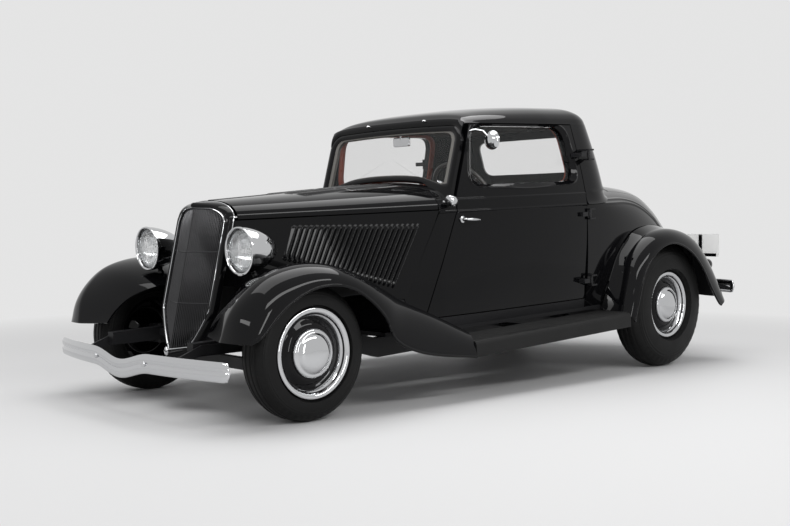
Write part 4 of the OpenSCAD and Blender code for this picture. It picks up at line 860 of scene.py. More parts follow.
lid_arm = np.array([[0.0, 0.008], [0.110, -0.026], [0.122, -0.028], [0.122, -0.040], [0.110, -0.040],
                    [0.107, -0.034], [0.0, -0.008], [-0.008, 0.0]]) + [lid_pin_s, lid_pin_h]
lid_arms = [place(plate(lid_arm, side * 0.200, side * 0.240)) for side in (-1.0, 1.0)]
skin("deck_lid_arms", lid_arms, enamel, "paint", body="deck_lid")


# Doors: curved panels hinged at the rear, with the belt beads and a beaded, recessed reveal round the window.
# Black enamel outside, an oxblood panel and garnish inside, on three outside hinges.
hands = {"left": [1.0, 1.0, 1.0], "right": [-1.0, 1.0, 1.0]}
door_t = 0.055
door_low = 0.345
door_top = 1.356
door_rear = 2.145
door_split = 1.0
window_corners = [[1.285, 1.030], [2.078, 1.030], [2.066, 1.345], [1.318, 1.345]]
window_eye = np.array([1.70, 1.19])


def on_side(flat, depth=0.0):
    """Flat points (s, h) on the body's side, or some way inside it."""
    s, h = flat[..., 0], flat[..., 1]
    return np.stack([side_half(s, h) - depth, s, h + 0.0 * s], -1)


door_u = np.linspace(0.0, 1.0, 65)
low_h = np.concatenate([np.linspace(door_low, 0.872, 30), np.linspace(0.877, 0.975, 40),
                        np.linspace(0.98, door_split, 4)])
low_flat = np.stack([mix(door_front(low_h)[:, None], door_rear, door_u), low_h[:, None] + 0.0 * door_u], -1)
side_h = np.linspace(door_split, door_top, 26)[1:-1]
top_flat = np.stack([mix(door_front(door_top), door_rear, door_u), 0.0 * door_u + door_top], -1)
upper_outer = np.concatenate([low_flat[-1], np.stack([0.0 * side_h + door_rear, side_h], -1), top_flat[::-1],
                              np.stack([door_front(side_h), side_h], -1)[::-1]])
window_loop = rounded(window_corners, 0.09)
upper_inner = facing(upper_outer, window_loop, window_eye)
upper_flat = ring(upper_outer, upper_inner, 22)
reveal = np.linalg.norm(upper_flat - closed(upper_inner), axis=-1)
reveal_rise = bead(reveal - 0.031, 0.009, 0.006) - 0.014 * np.clip(1.0 - reveal / 0.024, 0.0, 1.0)
low_rise = belt_beads(low_flat[..., 1])
leather = finish("oxblood_leather", (0.22, 0.042, 0.02), 0.35, 0.5, 260.0, 0.35)
pane = ring(upper_inner, window_eye + 0.0 * upper_inner, 8)
trim_h = np.linspace(0.40, 0.985, 24)[:, None]
trim = np.stack([mix(1.21, 2.10, door_u) + 0.0 * trim_h, trim_h + 0.0 * door_u], -1)
channels = np.abs(np.sin(9.0 * np.pi * door_u)) ** 0.5
pad = 0.004 + 0.004 * np.sin(np.linspace(0.0, np.pi, 24))[:, None] * channels
lip = ring(mix(upper_inner, window_eye, -0.11), mix(upper_inner, window_eye, -0.004), 6)
swell = 0.010 * np.sin(np.linspace(0.3, 2.6, 6))[:, None]


def door_sheet(hand, name, flats, outer, inner, *look, **more):
    """A sheet on one door: flat grids (s, h) at outer and inner depths within the body's side."""
    skins = [[place(on_side(flat, depth) * hands[hand]) for flat, depth in zip(flats, depths)]
             for depths in (outer, inner)]
    sheet(name, *skins, *look, body="door_" + hand, **more)


for hand in hands:
    door = "door_" + hand
    door_sheet(hand, door, [low_flat, upper_flat], [-low_rise, -reveal_rise], [door_t, door_t], enamel,
               "paint", nodes=(door,))
    door_sheet(hand, "door_glass_" + hand, [pane], [0.026], [0.032], glass, "glass",
               nodes=("door_glass_" + hand,))
    door_sheet(hand, "door_trim_" + hand, [trim], [0.056], [0.056 + pad], leather, "leather")
    door_sheet(hand, "door_garnish_" + hand, [lip], [0.0555], [0.058 + swell], garnish, "garnish")


# Door fittings: three outside hinges of black steel on each rear edge, a bright lever handle near the front
# edge, and a round bright mirror on an arm at the left window's corner.
def ball(centre, radii, rows=16, columns=24):
    """A closed ellipsoid grid about a centre, with radii in body axes."""
    polar = np.linspace(0.0, np.pi, rows + 1)[:, None]
    around = np.linspace(0.0, 2.0 * np.pi, columns + 1)
    unit = np.stack([np.sin(polar) * np.cos(around), np.sin(polar) * np.sin(around),
                     np.cos(polar) + 0.0 * around], -1)
    return np.asarray(centre) + unit * np.asarray(radii)


def turned(rows, axis, centre, count=40):
    """A grid turned about an axis through a centre (body axes) from rows (radius, along)."""
    grid = lathe(rows, count)
    order = {"x": (0, 1, 2), "s": (1, 0, 2), "h": (1, 2, 0)}[axis]
    return grid[..., order] + np.asarray(centre)


hinge_x = 0.679
hinge_s = 2.157
hinge_heights = (0.448, 0.836, 1.180)
barrel_rows = [[0.0, -0.023], [0.0075, -0.023], [0.008, -0.0225], [0.008, 0.0225], [0.0075, 0.023],
               [0.0, 0.023]]
rose_rows = [[0.0, 0.0], [0.019, 0.0], [0.018, 0.005], [0.0095, 0.009], [0.008, 0.034], [0.0, 0.044]]
handle_s = 1.205
handle_h = 0.850
handle_x = float(side_half(handle_s, handle_h))
lever_s = np.linspace(1.200, 1.300, 20)
lever_x = handle_x + 0.038 + 0.006 * np.sin(np.linspace(0.0, np.pi, 20))
lever = np.stack([lever_x, lever_s, handle_h - 0.06 * (lever_s - 1.2)], -1)
lever_r = 0.0085 * np.clip(np.sin(np.linspace(0.35, 3.0, 20)), 0.3, 1.0) ** 0.4
for hand, turn in hands.items():
    straps = []
    for h in hinge_heights:
        straps.append(turned(barrel_rows, "h", (hinge_x, hinge_s, h)))
        foot = float(side_half(door_rear - 0.03, h)) + 0.0005
        straps.append(block((foot, door_rear - 0.060, h - 0.012),
                            (hinge_x + 0.004, door_rear - 0.002, h + 0.012)))
        straps.append(block((hinge_x - 0.004, door_rear - 0.010, h - 0.0115),
                            (hinge_x + 0.004, hinge_s, h + 0.0115)))
    skin("door_hinges_" + hand, [place(g * turn) for g in straps], satin_black, "frame_paint",
         body="door_" + hand, nodes=("door_fittings_" + hand,))
    handle = tube(place(lever * turn), lever_r, 14)
    handle.append(place(turned(rose_rows, "x", (handle_x, handle_s, handle_h)) * turn))
    skin("door_handle_" + hand, handle, chrome, "chrome", body="door_" + hand)
mirror_x = float(side_half(1.30, 1.30))
arm = np.array([[mirror_x, 1.298, 1.318], [mirror_x + 0.035, 1.306, 1.322], [mirror_x + 0.075, 1.318, 1.312],
                [mirror_x + 0.108, 1.326, 1.276]])
mirror_arm = tube(place(arm), [0.009, 0.0055, 0.005, 0.005], 12)
mirror_rows = [[0.0, -0.014], [0.020, -0.013], [0.038, -0.007], [0.0495, 0.006], [0.051, 0.013],
               [0.0485, 0.016], [0.046, 0.0145], [0.0, 0.0135]]
mirror_arm.append(place(turned(mirror_rows, "s", (mirror_x + 0.112, 1.334, 1.262), 64)))
skin("door_mirror", mirror_arm, chrome, "chrome", body="door_left", sharp=50.0)


# Hood sides: flat panels of black enamelled steel with a row of long slanted louvres, pressed out and open
# behind, each fixed to the grille shell and the cowl.
def grille_edge(h):
    """s of the grille's side edge at height h: raked below its head."""
    return -0.030 - 0.27 * np.maximum(0.930 - h, 0.0)


def side_patch():
    """Hood side points (s, h) and louvre rise: four lines end to end, with louvres between the middle two."""
    front = [grille_edge(h) + 0.0183 for h in (0.600, 0.705, 0.872, 0.903)]
    rear = [cowl_front(h) - lap for h, lap in ((0.455, 0.002), (0.512, 0.004), (0.835, 0.004))]
    lines = np.array([[[front[0], 0.600], [0.170, 0.559], [0.740, 0.472], [rear[0], 0.455]],
                      [[front[1], 0.712], [0.199, 0.702], [0.786, 0.516], [rear[1], 0.508]],
                      [[front[2], 0.872], [0.259, 0.869], [0.949, 0.842], [rear[2], 0.832]],
                      [[front[3], 0.903], [0.262, 0.903], [0.952, 0.903], [hood_rear - 0.002, 0.903]]])
    count = 24
    steps = np.array([0.0, 0.12, 0.28, 0.44, 0.58, 0.68, 0.735, 0.745])
    louvres = 1.0 + (np.arange(count)[:, None] + steps).ravel() / count
    across = np.concatenate([np.linspace(0.0, 1.0, 4)[:-1], louvres, np.linspace(2.0, 3.0, 5)])
    slots = 1.0 + 0.5 * (1.0 - np.cos(np.linspace(0.0, np.pi, 28)))
    up = np.concatenate([np.linspace(0.0, 1.0, 5)[:-1], slots, np.linspace(2.0, 3.0, 4)[1:]])
    i = np.clip(np.floor(across).astype(int), 0, 2)
    u = (across - i)[:, None]
    rows = mix(lines[:, i], lines[:, i + 1], u)
    j = np.clip(np.floor(up).astype(int), 0, 2)
    flat = mix(rows[j], rows[j + 1], (up - j)[:, None, None])
    phase = np.clip(across - 1.0, 0.0, 0.99999) * count % 1.0
    swell = np.where(phase < 0.74, np.sin(0.5 * np.pi * np.clip((phase - 0.12) / 0.62, 0.0, 1.0)) ** 1.5, 0.0)
    swell = np.where((across > 1.0) & (across < 2.0), swell, 0.0)
    share = np.clip(up - 1.0, 0.0, 1.0)[:, None]
    from_end = np.minimum(share * 0.2, (1.0 - share) * 0.2)
    ends = np.clip((from_end - 0.010 * (1.0 - swell)) / 0.010, 0.0, 1.0) ** 0.5
    return flat, 0.013 * ends * swell


def on_hood_side(flat, out):
    """Flat points (s, h) on the hood's side, moved out along its level normal."""
    lean = math.atan2(hood_rear_half - hood_front_half, hood_length)
    s, h = flat[..., 0], flat[..., 1]
    return np.stack([hood_half(s) + out * math.cos(lean), s - out * math.sin(lean), h + 0.0 * s], -1)


louvre_flat, louvre_rise = side_patch()
hood_side_out = on_hood_side(louvre_flat, louvre_rise)
hood_side_in = on_hood_side(louvre_flat, -0.012)
sheet("hood_sides", both_sides(hood_side_out), both_sides(hood_side_in), enamel, "paint",
      nodes=("hood_sides",), sharp=32.0)


# Hood tops: two curved panels of black enamelled steel on the centre rod, each with two rows of short
# louvres ahead of the cowl. They lift about the rod.
def hood_top_grid():
    """Left hood top: rows along s, columns from the lower edge round to the rod; with the louvres' rise."""
    s = np.concatenate([np.linspace(-0.006, 0.40, 14)[:-1], np.linspace(0.40, hood_rear - gap, 250)])[:, None]
    low = belt_h + 0.016
    last = np.arccos((0.008 / hood_half(s)) ** (0.5 * arch_power))
    share = np.linspace(0.0, 1.0, 45)
    angle = last * share ** 1.25
    x = hood_half(s) * np.cos(angle) ** (2.0 / arch_power)
    h = mix(low, hood_crown(s), np.sin(angle) ** (2.0 / arch_power))
    grid = np.stack([x, s + 0.0 * x, h], -1)
    phase = (s - 0.42) / 0.0145 % 1.0
    notch = np.where(phase < 0.7, np.sin(0.5 * np.pi * phase / 0.7), 0.0)
    rows = 0.0
    for middle in (0.075, 0.180):
        rows = np.maximum(rows, np.clip((0.038 - np.abs(x - middle)) / 0.010, 0.0, 1.0) ** 0.5)
    live = ((s > 0.42) & (s < 0.712)) | ((s > 0.755) & (s < 1.030))
    return grid, 0.006 * notch * rows * live


hood_top, top_rise = hood_top_grid()
hood_top_n = normals(hood_top, core_line(hood_top, 0.7))
hood_top_out = hood_top + hood_top_n * top_rise[..., None]
hood_top_in = hood_top - 0.008 * hood_top_n
for hand, turn in hands.items():
    sheet("hood_top_" + hand, [place(hood_top_out * turn)], [place(hood_top_in * turn)], enamel, "paint",
          body="hood_" + hand, nodes=("hood_top_" + hand,), sharp=32.0)


# Grille: a pointed, raked shell of black enamelled steel with a bright inner edge, and upright steel bars in
# each half with two cross rods behind. The shell stands on the front crossmember.
grille_top = 0.996
grille_low = 0.265
bar_count = 20


def grille_half(h):
    """Half width of the grille at height h: rounded at the foot, drawn in at the head."""
    foot = 0.228 * np.clip((h - 0.245) / 0.240, 0.0, 1.0) ** 0.5
    inside = np.maximum(1.0 - (np.maximum(h - 0.903, 0.0) / 0.096) ** arch_power, 0.0)
    return foot * inside ** (1.0 / arch_power)


def on_grille(flat, back=0.0):
    """Flat points (x, h) on the grille's two faces: s from the prow line to the edge line by share of x."""
    x, h = flat[..., 0], flat[..., 1]
    share = np.abs(x) / np.maximum(grille_half(h), 0.02)
    prow = -0.097 - 0.262 * (grille_top - h)
    return np.stack([x, mix(prow, grille_edge(h) - 0.006, np.minimum(share, 1.0)) + back, h + 0.0 * x], -1)


shell_h = np.concatenate([np.linspace(grille_low, 0.40, 24), np.linspace(0.42, 0.88, 20),
                          np.linspace(0.895, grille_top, 22)])
shell_right = np.stack([grille_half(shell_h), shell_h], -1)
head_x = np.linspace(1.0, -1.0, 17)[1:-1]
shell_head = np.stack([head_x * grille_half(grille_top), 0.0 * head_x + grille_top], -1)
shell_foot = np.stack([-head_x * grille_half(grille_low), 0.0 * head_x + grille_low], -1)
shell_outer = np.concatenate([shell_right, shell_head, shell_right[::-1] * [-1.0, 1.0], shell_foot])
grille_eye = np.array([0.0, 0.66])
sight_h = np.linspace(0.312, 0.968, 50)
sight_right = grille_half(np.where(sight_h < 0.903, sight_h, sight_h + 0.018)) - 0.026
sight_right = np.stack([sight_right, sight_h], -1)
grille_sight = np.concatenate([sight_right, [[0.0, 0.974]], sight_right[::-1] * [-1.0, 1.0], [[0.0, 0.300]]])
shell_inner = facing(shell_outer, grille_sight, grille_eye)
shell_flat = ring(shell_outer, shell_inner, 12)
shell_swell = -0.010 * np.sin(np.linspace(0.0, np.pi, 12))[:, None] ** 0.7
sheet("grille_shell", [place(on_grille(shell_flat, shell_swell))], [place(on_grille(shell_flat, 0.024))],
      enamel, "paint", nodes=("grille_shell",))
edging_flat = ring(mix(shell_inner, grille_eye, -0.004), mix(shell_inner, grille_eye, 0.018), 5)
edging_rise = -0.006 * np.sin(np.linspace(0.0, np.pi, 5))[:, None]
sheet("grille_edging", [place(on_grille(edging_flat, edging_rise - 0.001))],
      [place(on_grille(edging_flat, 0.010))], chrome, "chrome")
seam = on_grille(shell_outer[42:105], 0.019) * [1.006, 1.0, 1.0]
skin("hood_seam_bead", tube(place(seam), 0.003, 8), chrome, "chrome")
grille_steel = finish("grille_steel", (0.06, 0.06, 0.062), 0.14, 0.22, 300.0, 0.03, 0.95)
bars = []
bar_section = np.array([[-0.0022, 0.020], [-0.0024, 0.004], [-0.0012, 0.0008], [0.0, 0.0], [0.0012, 0.0008],
                        [0.0024, 0.004], [0.0022, 0.020], [-0.0022, 0.020]])
for k in range(1, bar_count + 1):
    x = 0.196 * (k - 0.4) / bar_count
    low = max(0.289, 0.245 + 0.240 * ((x + 0.012) / 0.228) ** 2)
    top = 0.980 - 0.056 * (x / 0.228) ** 3
    h = np.linspace(low, top, 14)
    for side in (-1.0, 1.0):
        base = on_grille(np.stack([0.0 * h + side * x, h], -1), 0.010)
        bar = base[:, None] + np.stack([bar_section[:, 0], bar_section[:, 1], 0.0 * bar_section[:, 0]], -1)
        centre = bar[:, :-1].mean(1, keepdims=True) + 0.0 * bar
        bars.append(np.concatenate([centre[:1], bar, centre[-1:]]))
rods = []
for h in (0.520, 0.760):
    half = float(grille_half(h)) - 0.028
    x = np.array([-half, -0.002, 0.002, half])
    rods += tube(place(on_grille(np.stack([x, 0.0 * x + h], -1), 0.0085)), 0.0028, 8)
skin("grille_bars", [place(g) for g in bars] + rods, grille_steel, "grille_steel", nodes=("grille_bars",))
skin("crank_cover", [place(ball((0.0, -0.286, 0.296), (0.016, 0.010, 0.022)))], chrome, "chrome")


# Fenders: deep crowned pressings of black enamelled steel rolled down to a beaded lip, bolted to the frame
# and the body, with aprons from the front ones up to the hood. Each row of a table is a section: its number,
# lip s and h, crown x, s and h, and the foot's x, s and h, where a rear foot's x comes from the tail.
front_fender_rows = np.array([
    [0, -0.356, 0.396, 0.640, -0.408, 0.402, 0.455, -0.348, 0.408],
    [1, -0.312, 0.424, 0.664, -0.372, 0.518, 0.440, -0.304, 0.468],
    [2, -0.245, 0.492, 0.682, -0.300, 0.606, 0.420, -0.226, 0.530],
    [3, -0.155, 0.558, 0.698, -0.195, 0.674, 0.350, -0.130, 0.575],
    [4, -0.035, 0.604, 0.700, -0.052, 0.708, 0.300, -0.010, 0.594],
    [5, 0.088, 0.611, 0.700, 0.088, 0.706, 0.296, 0.110, 0.572],
    [6, 0.200, 0.583, 0.700, 0.220, 0.674, 0.330, 0.235, 0.551],
    [7, 0.300, 0.520, 0.700, 0.345, 0.621, 0.365, 0.365, 0.528],
    [8, 0.385, 0.435, 0.704, 0.467, 0.553, 0.400, 0.490, 0.506],
    [9, 0.455, 0.315, 0.712, 0.600, 0.480, 0.438, 0.625, 0.482],
    [10, 0.650, 0.230, 0.724, 0.790, 0.396, 0.510, 0.800, 0.400],
    [11, 0.990, 0.168, 0.735, 0.990, 0.300, 0.585, 0.990, 0.262]])
rear_fender_rows = np.array([
    [0, 2.372, 0.189, 0.735, 2.330, 0.250, 2.310, 0.262],
    [1, 2.418, 0.314, 0.728, 2.385, 0.400, 2.365, 0.430],
    [2, 2.498, 0.486, 0.722, 2.462, 0.565, 2.450, 0.585],
    [3, 2.640, 0.596, 0.720, 2.620, 0.676, 2.600, 0.700],
    [4, 2.805, 0.628, 0.720, 2.800, 0.713, 2.790, 0.735],
    [5, 2.973, 0.574, 0.720, 2.975, 0.698, 2.965, 0.728],
    [6, 3.110, 0.469, 0.720, 3.130, 0.640, 3.120, 0.680],
    [7, 3.236, 0.305, 0.720, 3.270, 0.522, 3.260, 0.575],
    [8, 3.314, 0.212, 0.715, 3.392, 0.358, 3.384, 0.420],
    [9, 3.346, 0.190, 0.700, 3.474, 0.235, 3.458, 0.262]])
nose_taper = np.array([[0, 0.038], [1, 0.018], [2, 0.006], [3, 0.0], [4, 0.0], [11, 0.0]])
fender_half = 0.828
fender_t = 0.008


def fender_grid(lip, crown, foot):
    """Sections from foot to crown by h = mix(crown, foot, t^1.7), then a quarter ellipse down to the lip."""
    t = np.linspace(1.0, 0.0, 22)[:, None]
    dip = mix(crown[:, None], foot[:, None], t)
    dip[..., 2] = mix(crown[:, None, 2], foot[:, None, 2], t[:, 0] ** 1.7)
    a = 0.5 * np.pi * np.linspace(0.0, 1.0, 26)[1:]
    roll = np.stack([mix(crown[:, None, 0], lip[:, None, 0], np.sin(a)),
                     mix(crown[:, None, 1], lip[:, None, 1], 1.0 - np.cos(a)),
                     mix(crown[:, None, 2], lip[:, None, 2], 1.0 - np.cos(a))], -1)
    return np.concatenate([dip, roll], 1)


def tail_half_at(s, h):
    """Half width of the tail at s and height h."""
    t = np.interp(-h, -tail_rows[:, 4], tail_rows[:, 0])
    a, b = along(tail_rows, t, 1), along(tail_rows, t, 2)
    inside = np.maximum(1.0 - (np.maximum(s - tail_front, 0.0) / b) ** plan_power, 0.02)
    return np.where(s < tail_front, a, a * inside ** (1.0 / plan_power))


t = np.linspace(0.0, 11.0, 89)
front = [along(front_fender_rows, t, k) for k in range(1, 9)]
front_lip = np.stack([fender_half - along(nose_taper, t), *front[:2]], -1)
front_fender = fender_grid(front_lip, np.stack(front[2:5], -1), np.stack(front[5:], -1))
t = np.linspace(0.0, 9.0, 73)
rear = [along(rear_fender_rows, t, k) for k in range(1, 8)]
rear_lip = np.stack([0.0 * t + fender_half, *rear[:2]], -1)
rear_foot = np.stack([tail_half_at(*rear[5:]) + 0.008, *rear[5:]], -1)
rear_fender = fender_grid(rear_lip, np.stack(rear[2:5], -1), rear_foot)
for name, grid, core_x, core_h in (("front_fenders", front_fender, 0.640, 0.300),
                                   ("rear_fenders", rear_fender, 0.660, 0.200)):
    core = core_line(grid, core_h)
    core[..., 0] = core_x
    lining = grid - fender_t * normals(grid, core)
    sheet(name, both_sides(grid), both_sides(lining), enamel, "paint", nodes=(name,))
    lip = grid[:, -1] - [0.004, 0.0, 0.0]
    skin(name + "_bead", tube(place(lip), 0.007) + tube(place(mirrored(lip)), 0.007), enamel, "paint")
apron_s = np.linspace(0.50, 0.99, 40)
foot_edge = front_fender[:, 0]
apron_low = np.stack([np.interp(apron_s, foot_edge[:, 1], foot_edge[:, k]) for k in range(3)], -1)
by_hood = apron_s < 0.85
hood_foot = 0.604 - 0.1523 * (apron_s + 0.101)
apron_h = np.where(by_hood, hood_foot, np.interp(apron_s, [0.85, 0.90], [0.459, 0.36]))
apron_x = np.where(by_hood, hood_half(apron_s), side_half(apron_s, apron_h)) - 0.006
apron_top = np.stack([apron_x, apron_s, np.maximum(apron_h, apron_low[:, 2])], -1)
apron = mix(apron_low, apron_top, np.linspace(0.0, 1.0, 4)[:, None, None])
sheet("fender_aprons", both_sides(apron), both_sides(apron - [0.004, 0.0, 0.0]), enamel, "paint")


# Running boards: pressed steel steps between the fenders, covered with dark ribbed rubber and carried on
# brackets from the frame. Plates at the rear close the gap from board to body.
rail_x = 0.3853
board_rubber = finish("board_rubber", (0.010, 0.010, 0.010), 0.4, 0.55, 500.0, 0.1, 0.0, 0.15)
rib_x = np.linspace(0.604, 0.796, 145)
rib_h = 0.250 + 0.0022 * np.clip(np.cos(2.0 * np.pi * (rib_x - 0.604) / 0.016) * 2.0, -1.0, 1.0)
board_rows = np.concatenate([[[0.586, 0.236], [0.592, 0.247]], np.stack([rib_x, rib_h], -1),
                             [[0.803, 0.2495], [0.812, 0.247], [0.818, 0.244], [0.824, 0.236], [0.827, 0.226],
                              [0.828, 0.166], [0.820, 0.166], [0.812, 0.224], [0.795, 0.236]]])
board_ends = [np.insert(closed(board_rows), 1, s, axis=1) for s in (0.9903, 2.326)]
board_mid = [0.0 * end + [0.70, end[0, 1], 0.238] for end in board_ends]
board = np.stack([board_mid[0], *board_ends, board_mid[1]])
brackets = [block((rail_x, s, 0.216), (0.7153, s + 0.040, 0.236)) for s in (1.180, 1.660, 2.130)]
brackets.append(block((0.588, 2.04, 0.238), (0.594, 2.40, 0.420)))
brackets.append(block((0.588, 2.380, 0.238), (0.660, 2.386, 0.420)))
skin("running_boards", both_sides(board), board_rubber, "board_rubber", nodes=("running_boards",))
skin("board_brackets", both_sides(*brackets), satin_black, "frame_paint")


# Bumpers: bowed bars of chromed spring steel with a groove along the middle, rounded at the ends, on black
# irons from the frame. The front bar dips in the middle.
bumper_half = 0.756
bumper_y = 2.175
front_bar_z = 0.263
front_sweep = 0.095
front_dip = 0.040
dip_half = 0.25


def bumper(end_y, height, side, sweep, dip):
    """A bowed bar: rows round its section, columns across, y = bow |x / w|^2.2, z lowered by a cosine dip."""
    v = np.linspace(-1.0, 1.0, 81)
    x = bumper_half * v
    angle = np.linspace(0.0, 2.0 * np.pi, 65)[:, None]
    tall = 0.044 * np.sign(np.sin(angle)) * np.abs(np.sin(angle)) ** 0.55
    deep = -0.011 * np.sign(np.cos(angle)) * np.abs(np.cos(angle)) ** 0.7 + 0.011
    groove = 0.006 * np.exp(-(tall / 0.004) ** 2) * (np.cos(angle) > 0.0)
    taper = np.clip((1.0 - np.abs(v)) / 0.03, 0.0, 1.0) ** 0.5
    low = dip * np.cos(0.5 * np.pi * np.clip(np.abs(x) / dip_half, 0.0, 1.0)) ** 2
    y = end_y + side * (sweep * np.abs(v) ** 2.2 + (deep + groove - 0.011) * taper + 0.011)
    return np.stack([x + 0.0 * angle, y, height - low + tall * taper], -1)


front_bar = bumper(-bumper_y, front_bar_z, 1.0, front_sweep, front_dip)
skin("front_bumper", [front_bar], chrome, "chrome", nodes=("front_bumper",))
skin("rear_bumper", [bumper(bumper_y, 0.472, -1.0, 0.160, 0.0)], chrome, "chrome", nodes=("rear_bumper",))
front_iron = [[-2.131, 0.243], [-2.131, 0.283], [-1.975, 0.345], [-1.875, 0.345], [-1.875, 0.305],
              [-1.975, 0.300]]
rear_iron = [[1.765, 0.432], [1.915, 0.440], [2.005, 0.494], [2.1165, 0.494], [2.1165, 0.450],
             [2.025, 0.448], [1.945, 0.394], [1.765, 0.388]]
irons = [plate(iron, side * rail_x, side * (rail_x + 0.012)) for side in (-1.0, 1.0)
         for iron in (front_iron, rear_iron)]
skin("bumper_irons", irons, satin_black, "frame_paint")
bolts = []
for x in (-0.22, 0.22):
    y = -bumper_y + front_sweep * abs(x / bumper_half) ** 2.2
    z = front_bar_z - front_dip * math.cos(0.5 * math.pi * min(abs(x) / dip_half, 1.0)) ** 2
    bolts.append(ball((x, y + 0.002, z), (0.013, 0.008, 0.013)))
skin("bumper_bolts", bolts, chrome, "chrome")


# Headlamps: chromed bullet shells on short stands from the fenders, with a bright rim, a dished reflector
# and a clear fluted lens.
bullet = [[0.0, -0.156]]
for k in np.linspace(0.06, 1.0, 24):
    bullet.append([0.112 * math.sin(0.5 * math.pi * k), 0.040 - 0.196 * math.cos(0.5 * math.pi * k) ** 1.3])
bullet += [[0.1135, 0.043], [0.112, 0.048], [0.107, 0.050], [0.1015, 0.047], [0.100, 0.040], [0.098, 0.018],
           [0.080, -0.005], [0.058, -0.030], [0.0, -0.040]]
lamp_spot = np.array([0.408, -0.080, 0.768])
lens_radius = 0.0995


def lamp_turned(rows, spot, count=96):
    """A grid turned about the lamp's level axis, with positive rows forwards."""
    grid = turned(np.asarray(rows) * [1.0, -1.0], "s", (0.0, 0.0, 0.0), count)
    return grid + spot


skin("headlamps", both_sides(lamp_turned(bullet, lamp_spot)), chrome, "lamp_metal", nodes=("headlamps",),
     sharp=50.0)
stand = np.array([[0.408, -0.056, 0.672], [0.411, -0.052, 0.662], [0.414, -0.048, 0.652],
                  [0.416, -0.045, 0.644]])
stand_radii = [0.017, 0.013, 0.013, 0.018]
stands = [tube(path, stand_radii, 16) for path in both_sides(stand)]
skin("lamp_stands", stands[0] + stands[1], enamel, "paint")
lens_glass = clear_glass("lens_glass", (0.97, 0.98, 0.98))
lens_r = np.linspace(0.0, lens_radius, 26)
lens_crown = 0.034 + 0.014 * (1.0 - (lens_r / lens_radius) ** 2)
lens_front = lathe(np.stack([lens_r, lens_crown], -1), 96)
flutes = 0.0012 * np.cos(2.0 * np.pi * lens_front[..., 1] / 0.012)
fade = np.clip((0.094 - np.hypot(lens_front[..., 1], lens_front[..., 2])) / 0.01, 0.0, 1.0)
lens_front[..., 0] += flutes * fade
lens_back = lathe(np.stack([lens_r, 0.0 * lens_r + 0.020], -1), 96)
lens_pair = [grid[..., (1, 0, 2)] * [1.0, -1.0, 1.0] + lamp_spot for grid in (lens_front, lens_back)]
sheet("headlamp_lenses", both_sides(lens_pair[0]), both_sides(lens_pair[1]), lens_glass, "glass",
      nodes=("headlamp_lenses",))


# Small lamps and plate: chromed lamps on the cowl, tail lamps on stands, and a blank white plate on a black
# bracket over the left tail lamp.
cowl_lamp = [[0.0, -0.030], [0.015, -0.028], [0.026, -0.015], [0.0305, 0.0], [0.031, 0.021], [0.029, 0.027],
             [0.024, 0.030], [0.0, 0.032]]
lamp_place = np.array([0.576, 1.112, 0.951])
cowl_lamps = [lamp_turned(cowl_lamp, lamp_place, 48)]
cowl_stem = np.array([[0.500, 1.108, 0.944], [0.530, 1.108, 0.945], [0.560, 1.108, 0.948]])
cowl_lamps += tube(cowl_stem, [0.014, 0.008, 0.008], 14)
skin("cowl_lamps", both_sides(*cowl_lamps), chrome, "chrome", nodes=("cowl_lamps",), sharp=50.0)
red_lens = clear_glass("red_lens", (0.55, 0.01, 0.01))
tail_lamp_rows = [[0.0, -0.070], [0.030, -0.066], [0.040, -0.050], [0.040, -0.004], [0.037, 0.0], [0.0, 0.0]]
tails = []
lenses = []
for side in (-1.0, 1.0):
    spot = np.array([side * 0.495, 2.097, 0.612])
    tails.append(turned(tail_lamp_rows, "s", spot, 48))
    stem = np.array([spot + [-side * 0.020, -0.032, -0.026], [side * 0.4052, 2.025, 0.484]])
    tails += tube(stem, 0.009, 12)
    lenses.append(lamp_turned([[0.0, 0.004], [0.033, 0.001], [0.036, -0.001], [0.0, -0.001]], spot, 48))
tails.append(block((0.431, 2.086, 0.622), (0.453, 2.094, 0.819)))
tails.append(block((0.431, 2.086, 0.667), (0.563, 2.094, 0.689)))
tails.append(block((0.443, 2.051, 0.622), (0.523, 2.094, 0.636)))
skin("tail_lamps", tails, enamel, "lamp_metal", nodes=("tail_lamps",), sharp=50.0)
skin("tail_lenses", lenses, red_lens, "glass")
plate_white = finish("plate_white", (0.92, 0.92, 0.91), 0.3, 0.4, 400.0, 0.03)
plate_loop = rounded([[-0.132, -0.078], [0.132, -0.078], [0.132, 0.078], [-0.132, 0.078]], 0.012)
plate_ring = ring(plate_loop, 0.0 * plate_loop, 3)
plate_face = np.stack([plate_ring[..., 0] + 0.453, 0.0 * plate_ring[..., 0], plate_ring[..., 1] + 0.745], -1)
sheet("number_plate", [plate_face + [0.0, 2.096, 0.0]], [plate_face + [0.0, 2.0943, 0.0]], plate_white,
      "plate_white", nodes=("number_plate",))


# Seat: a bench with a padded cushion and back in pleated oxblood leather over springs, standing on the floor.
# Each pad is swollen by a short cloth run, and its sewn channels are pressed in afterwards.
def pad_grid(low, high):
    """A closed box with crowned faces between two corners: a sphere's grid pushed to a superellipsoid."""
    middle = 0.5 * (np.asarray(low) + np.asarray(high))
    half = 0.5 * (np.asarray(high) - np.asarray(low))
    unit = ball((0.0, 0.0, 0.0), (1.0, 1.0, 1.0), 48, 96)
    reach = (np.abs(unit) ** 9).sum(-1, keepdims=True) ** (1.0 / 9.0)
    return middle + unit / reach * half


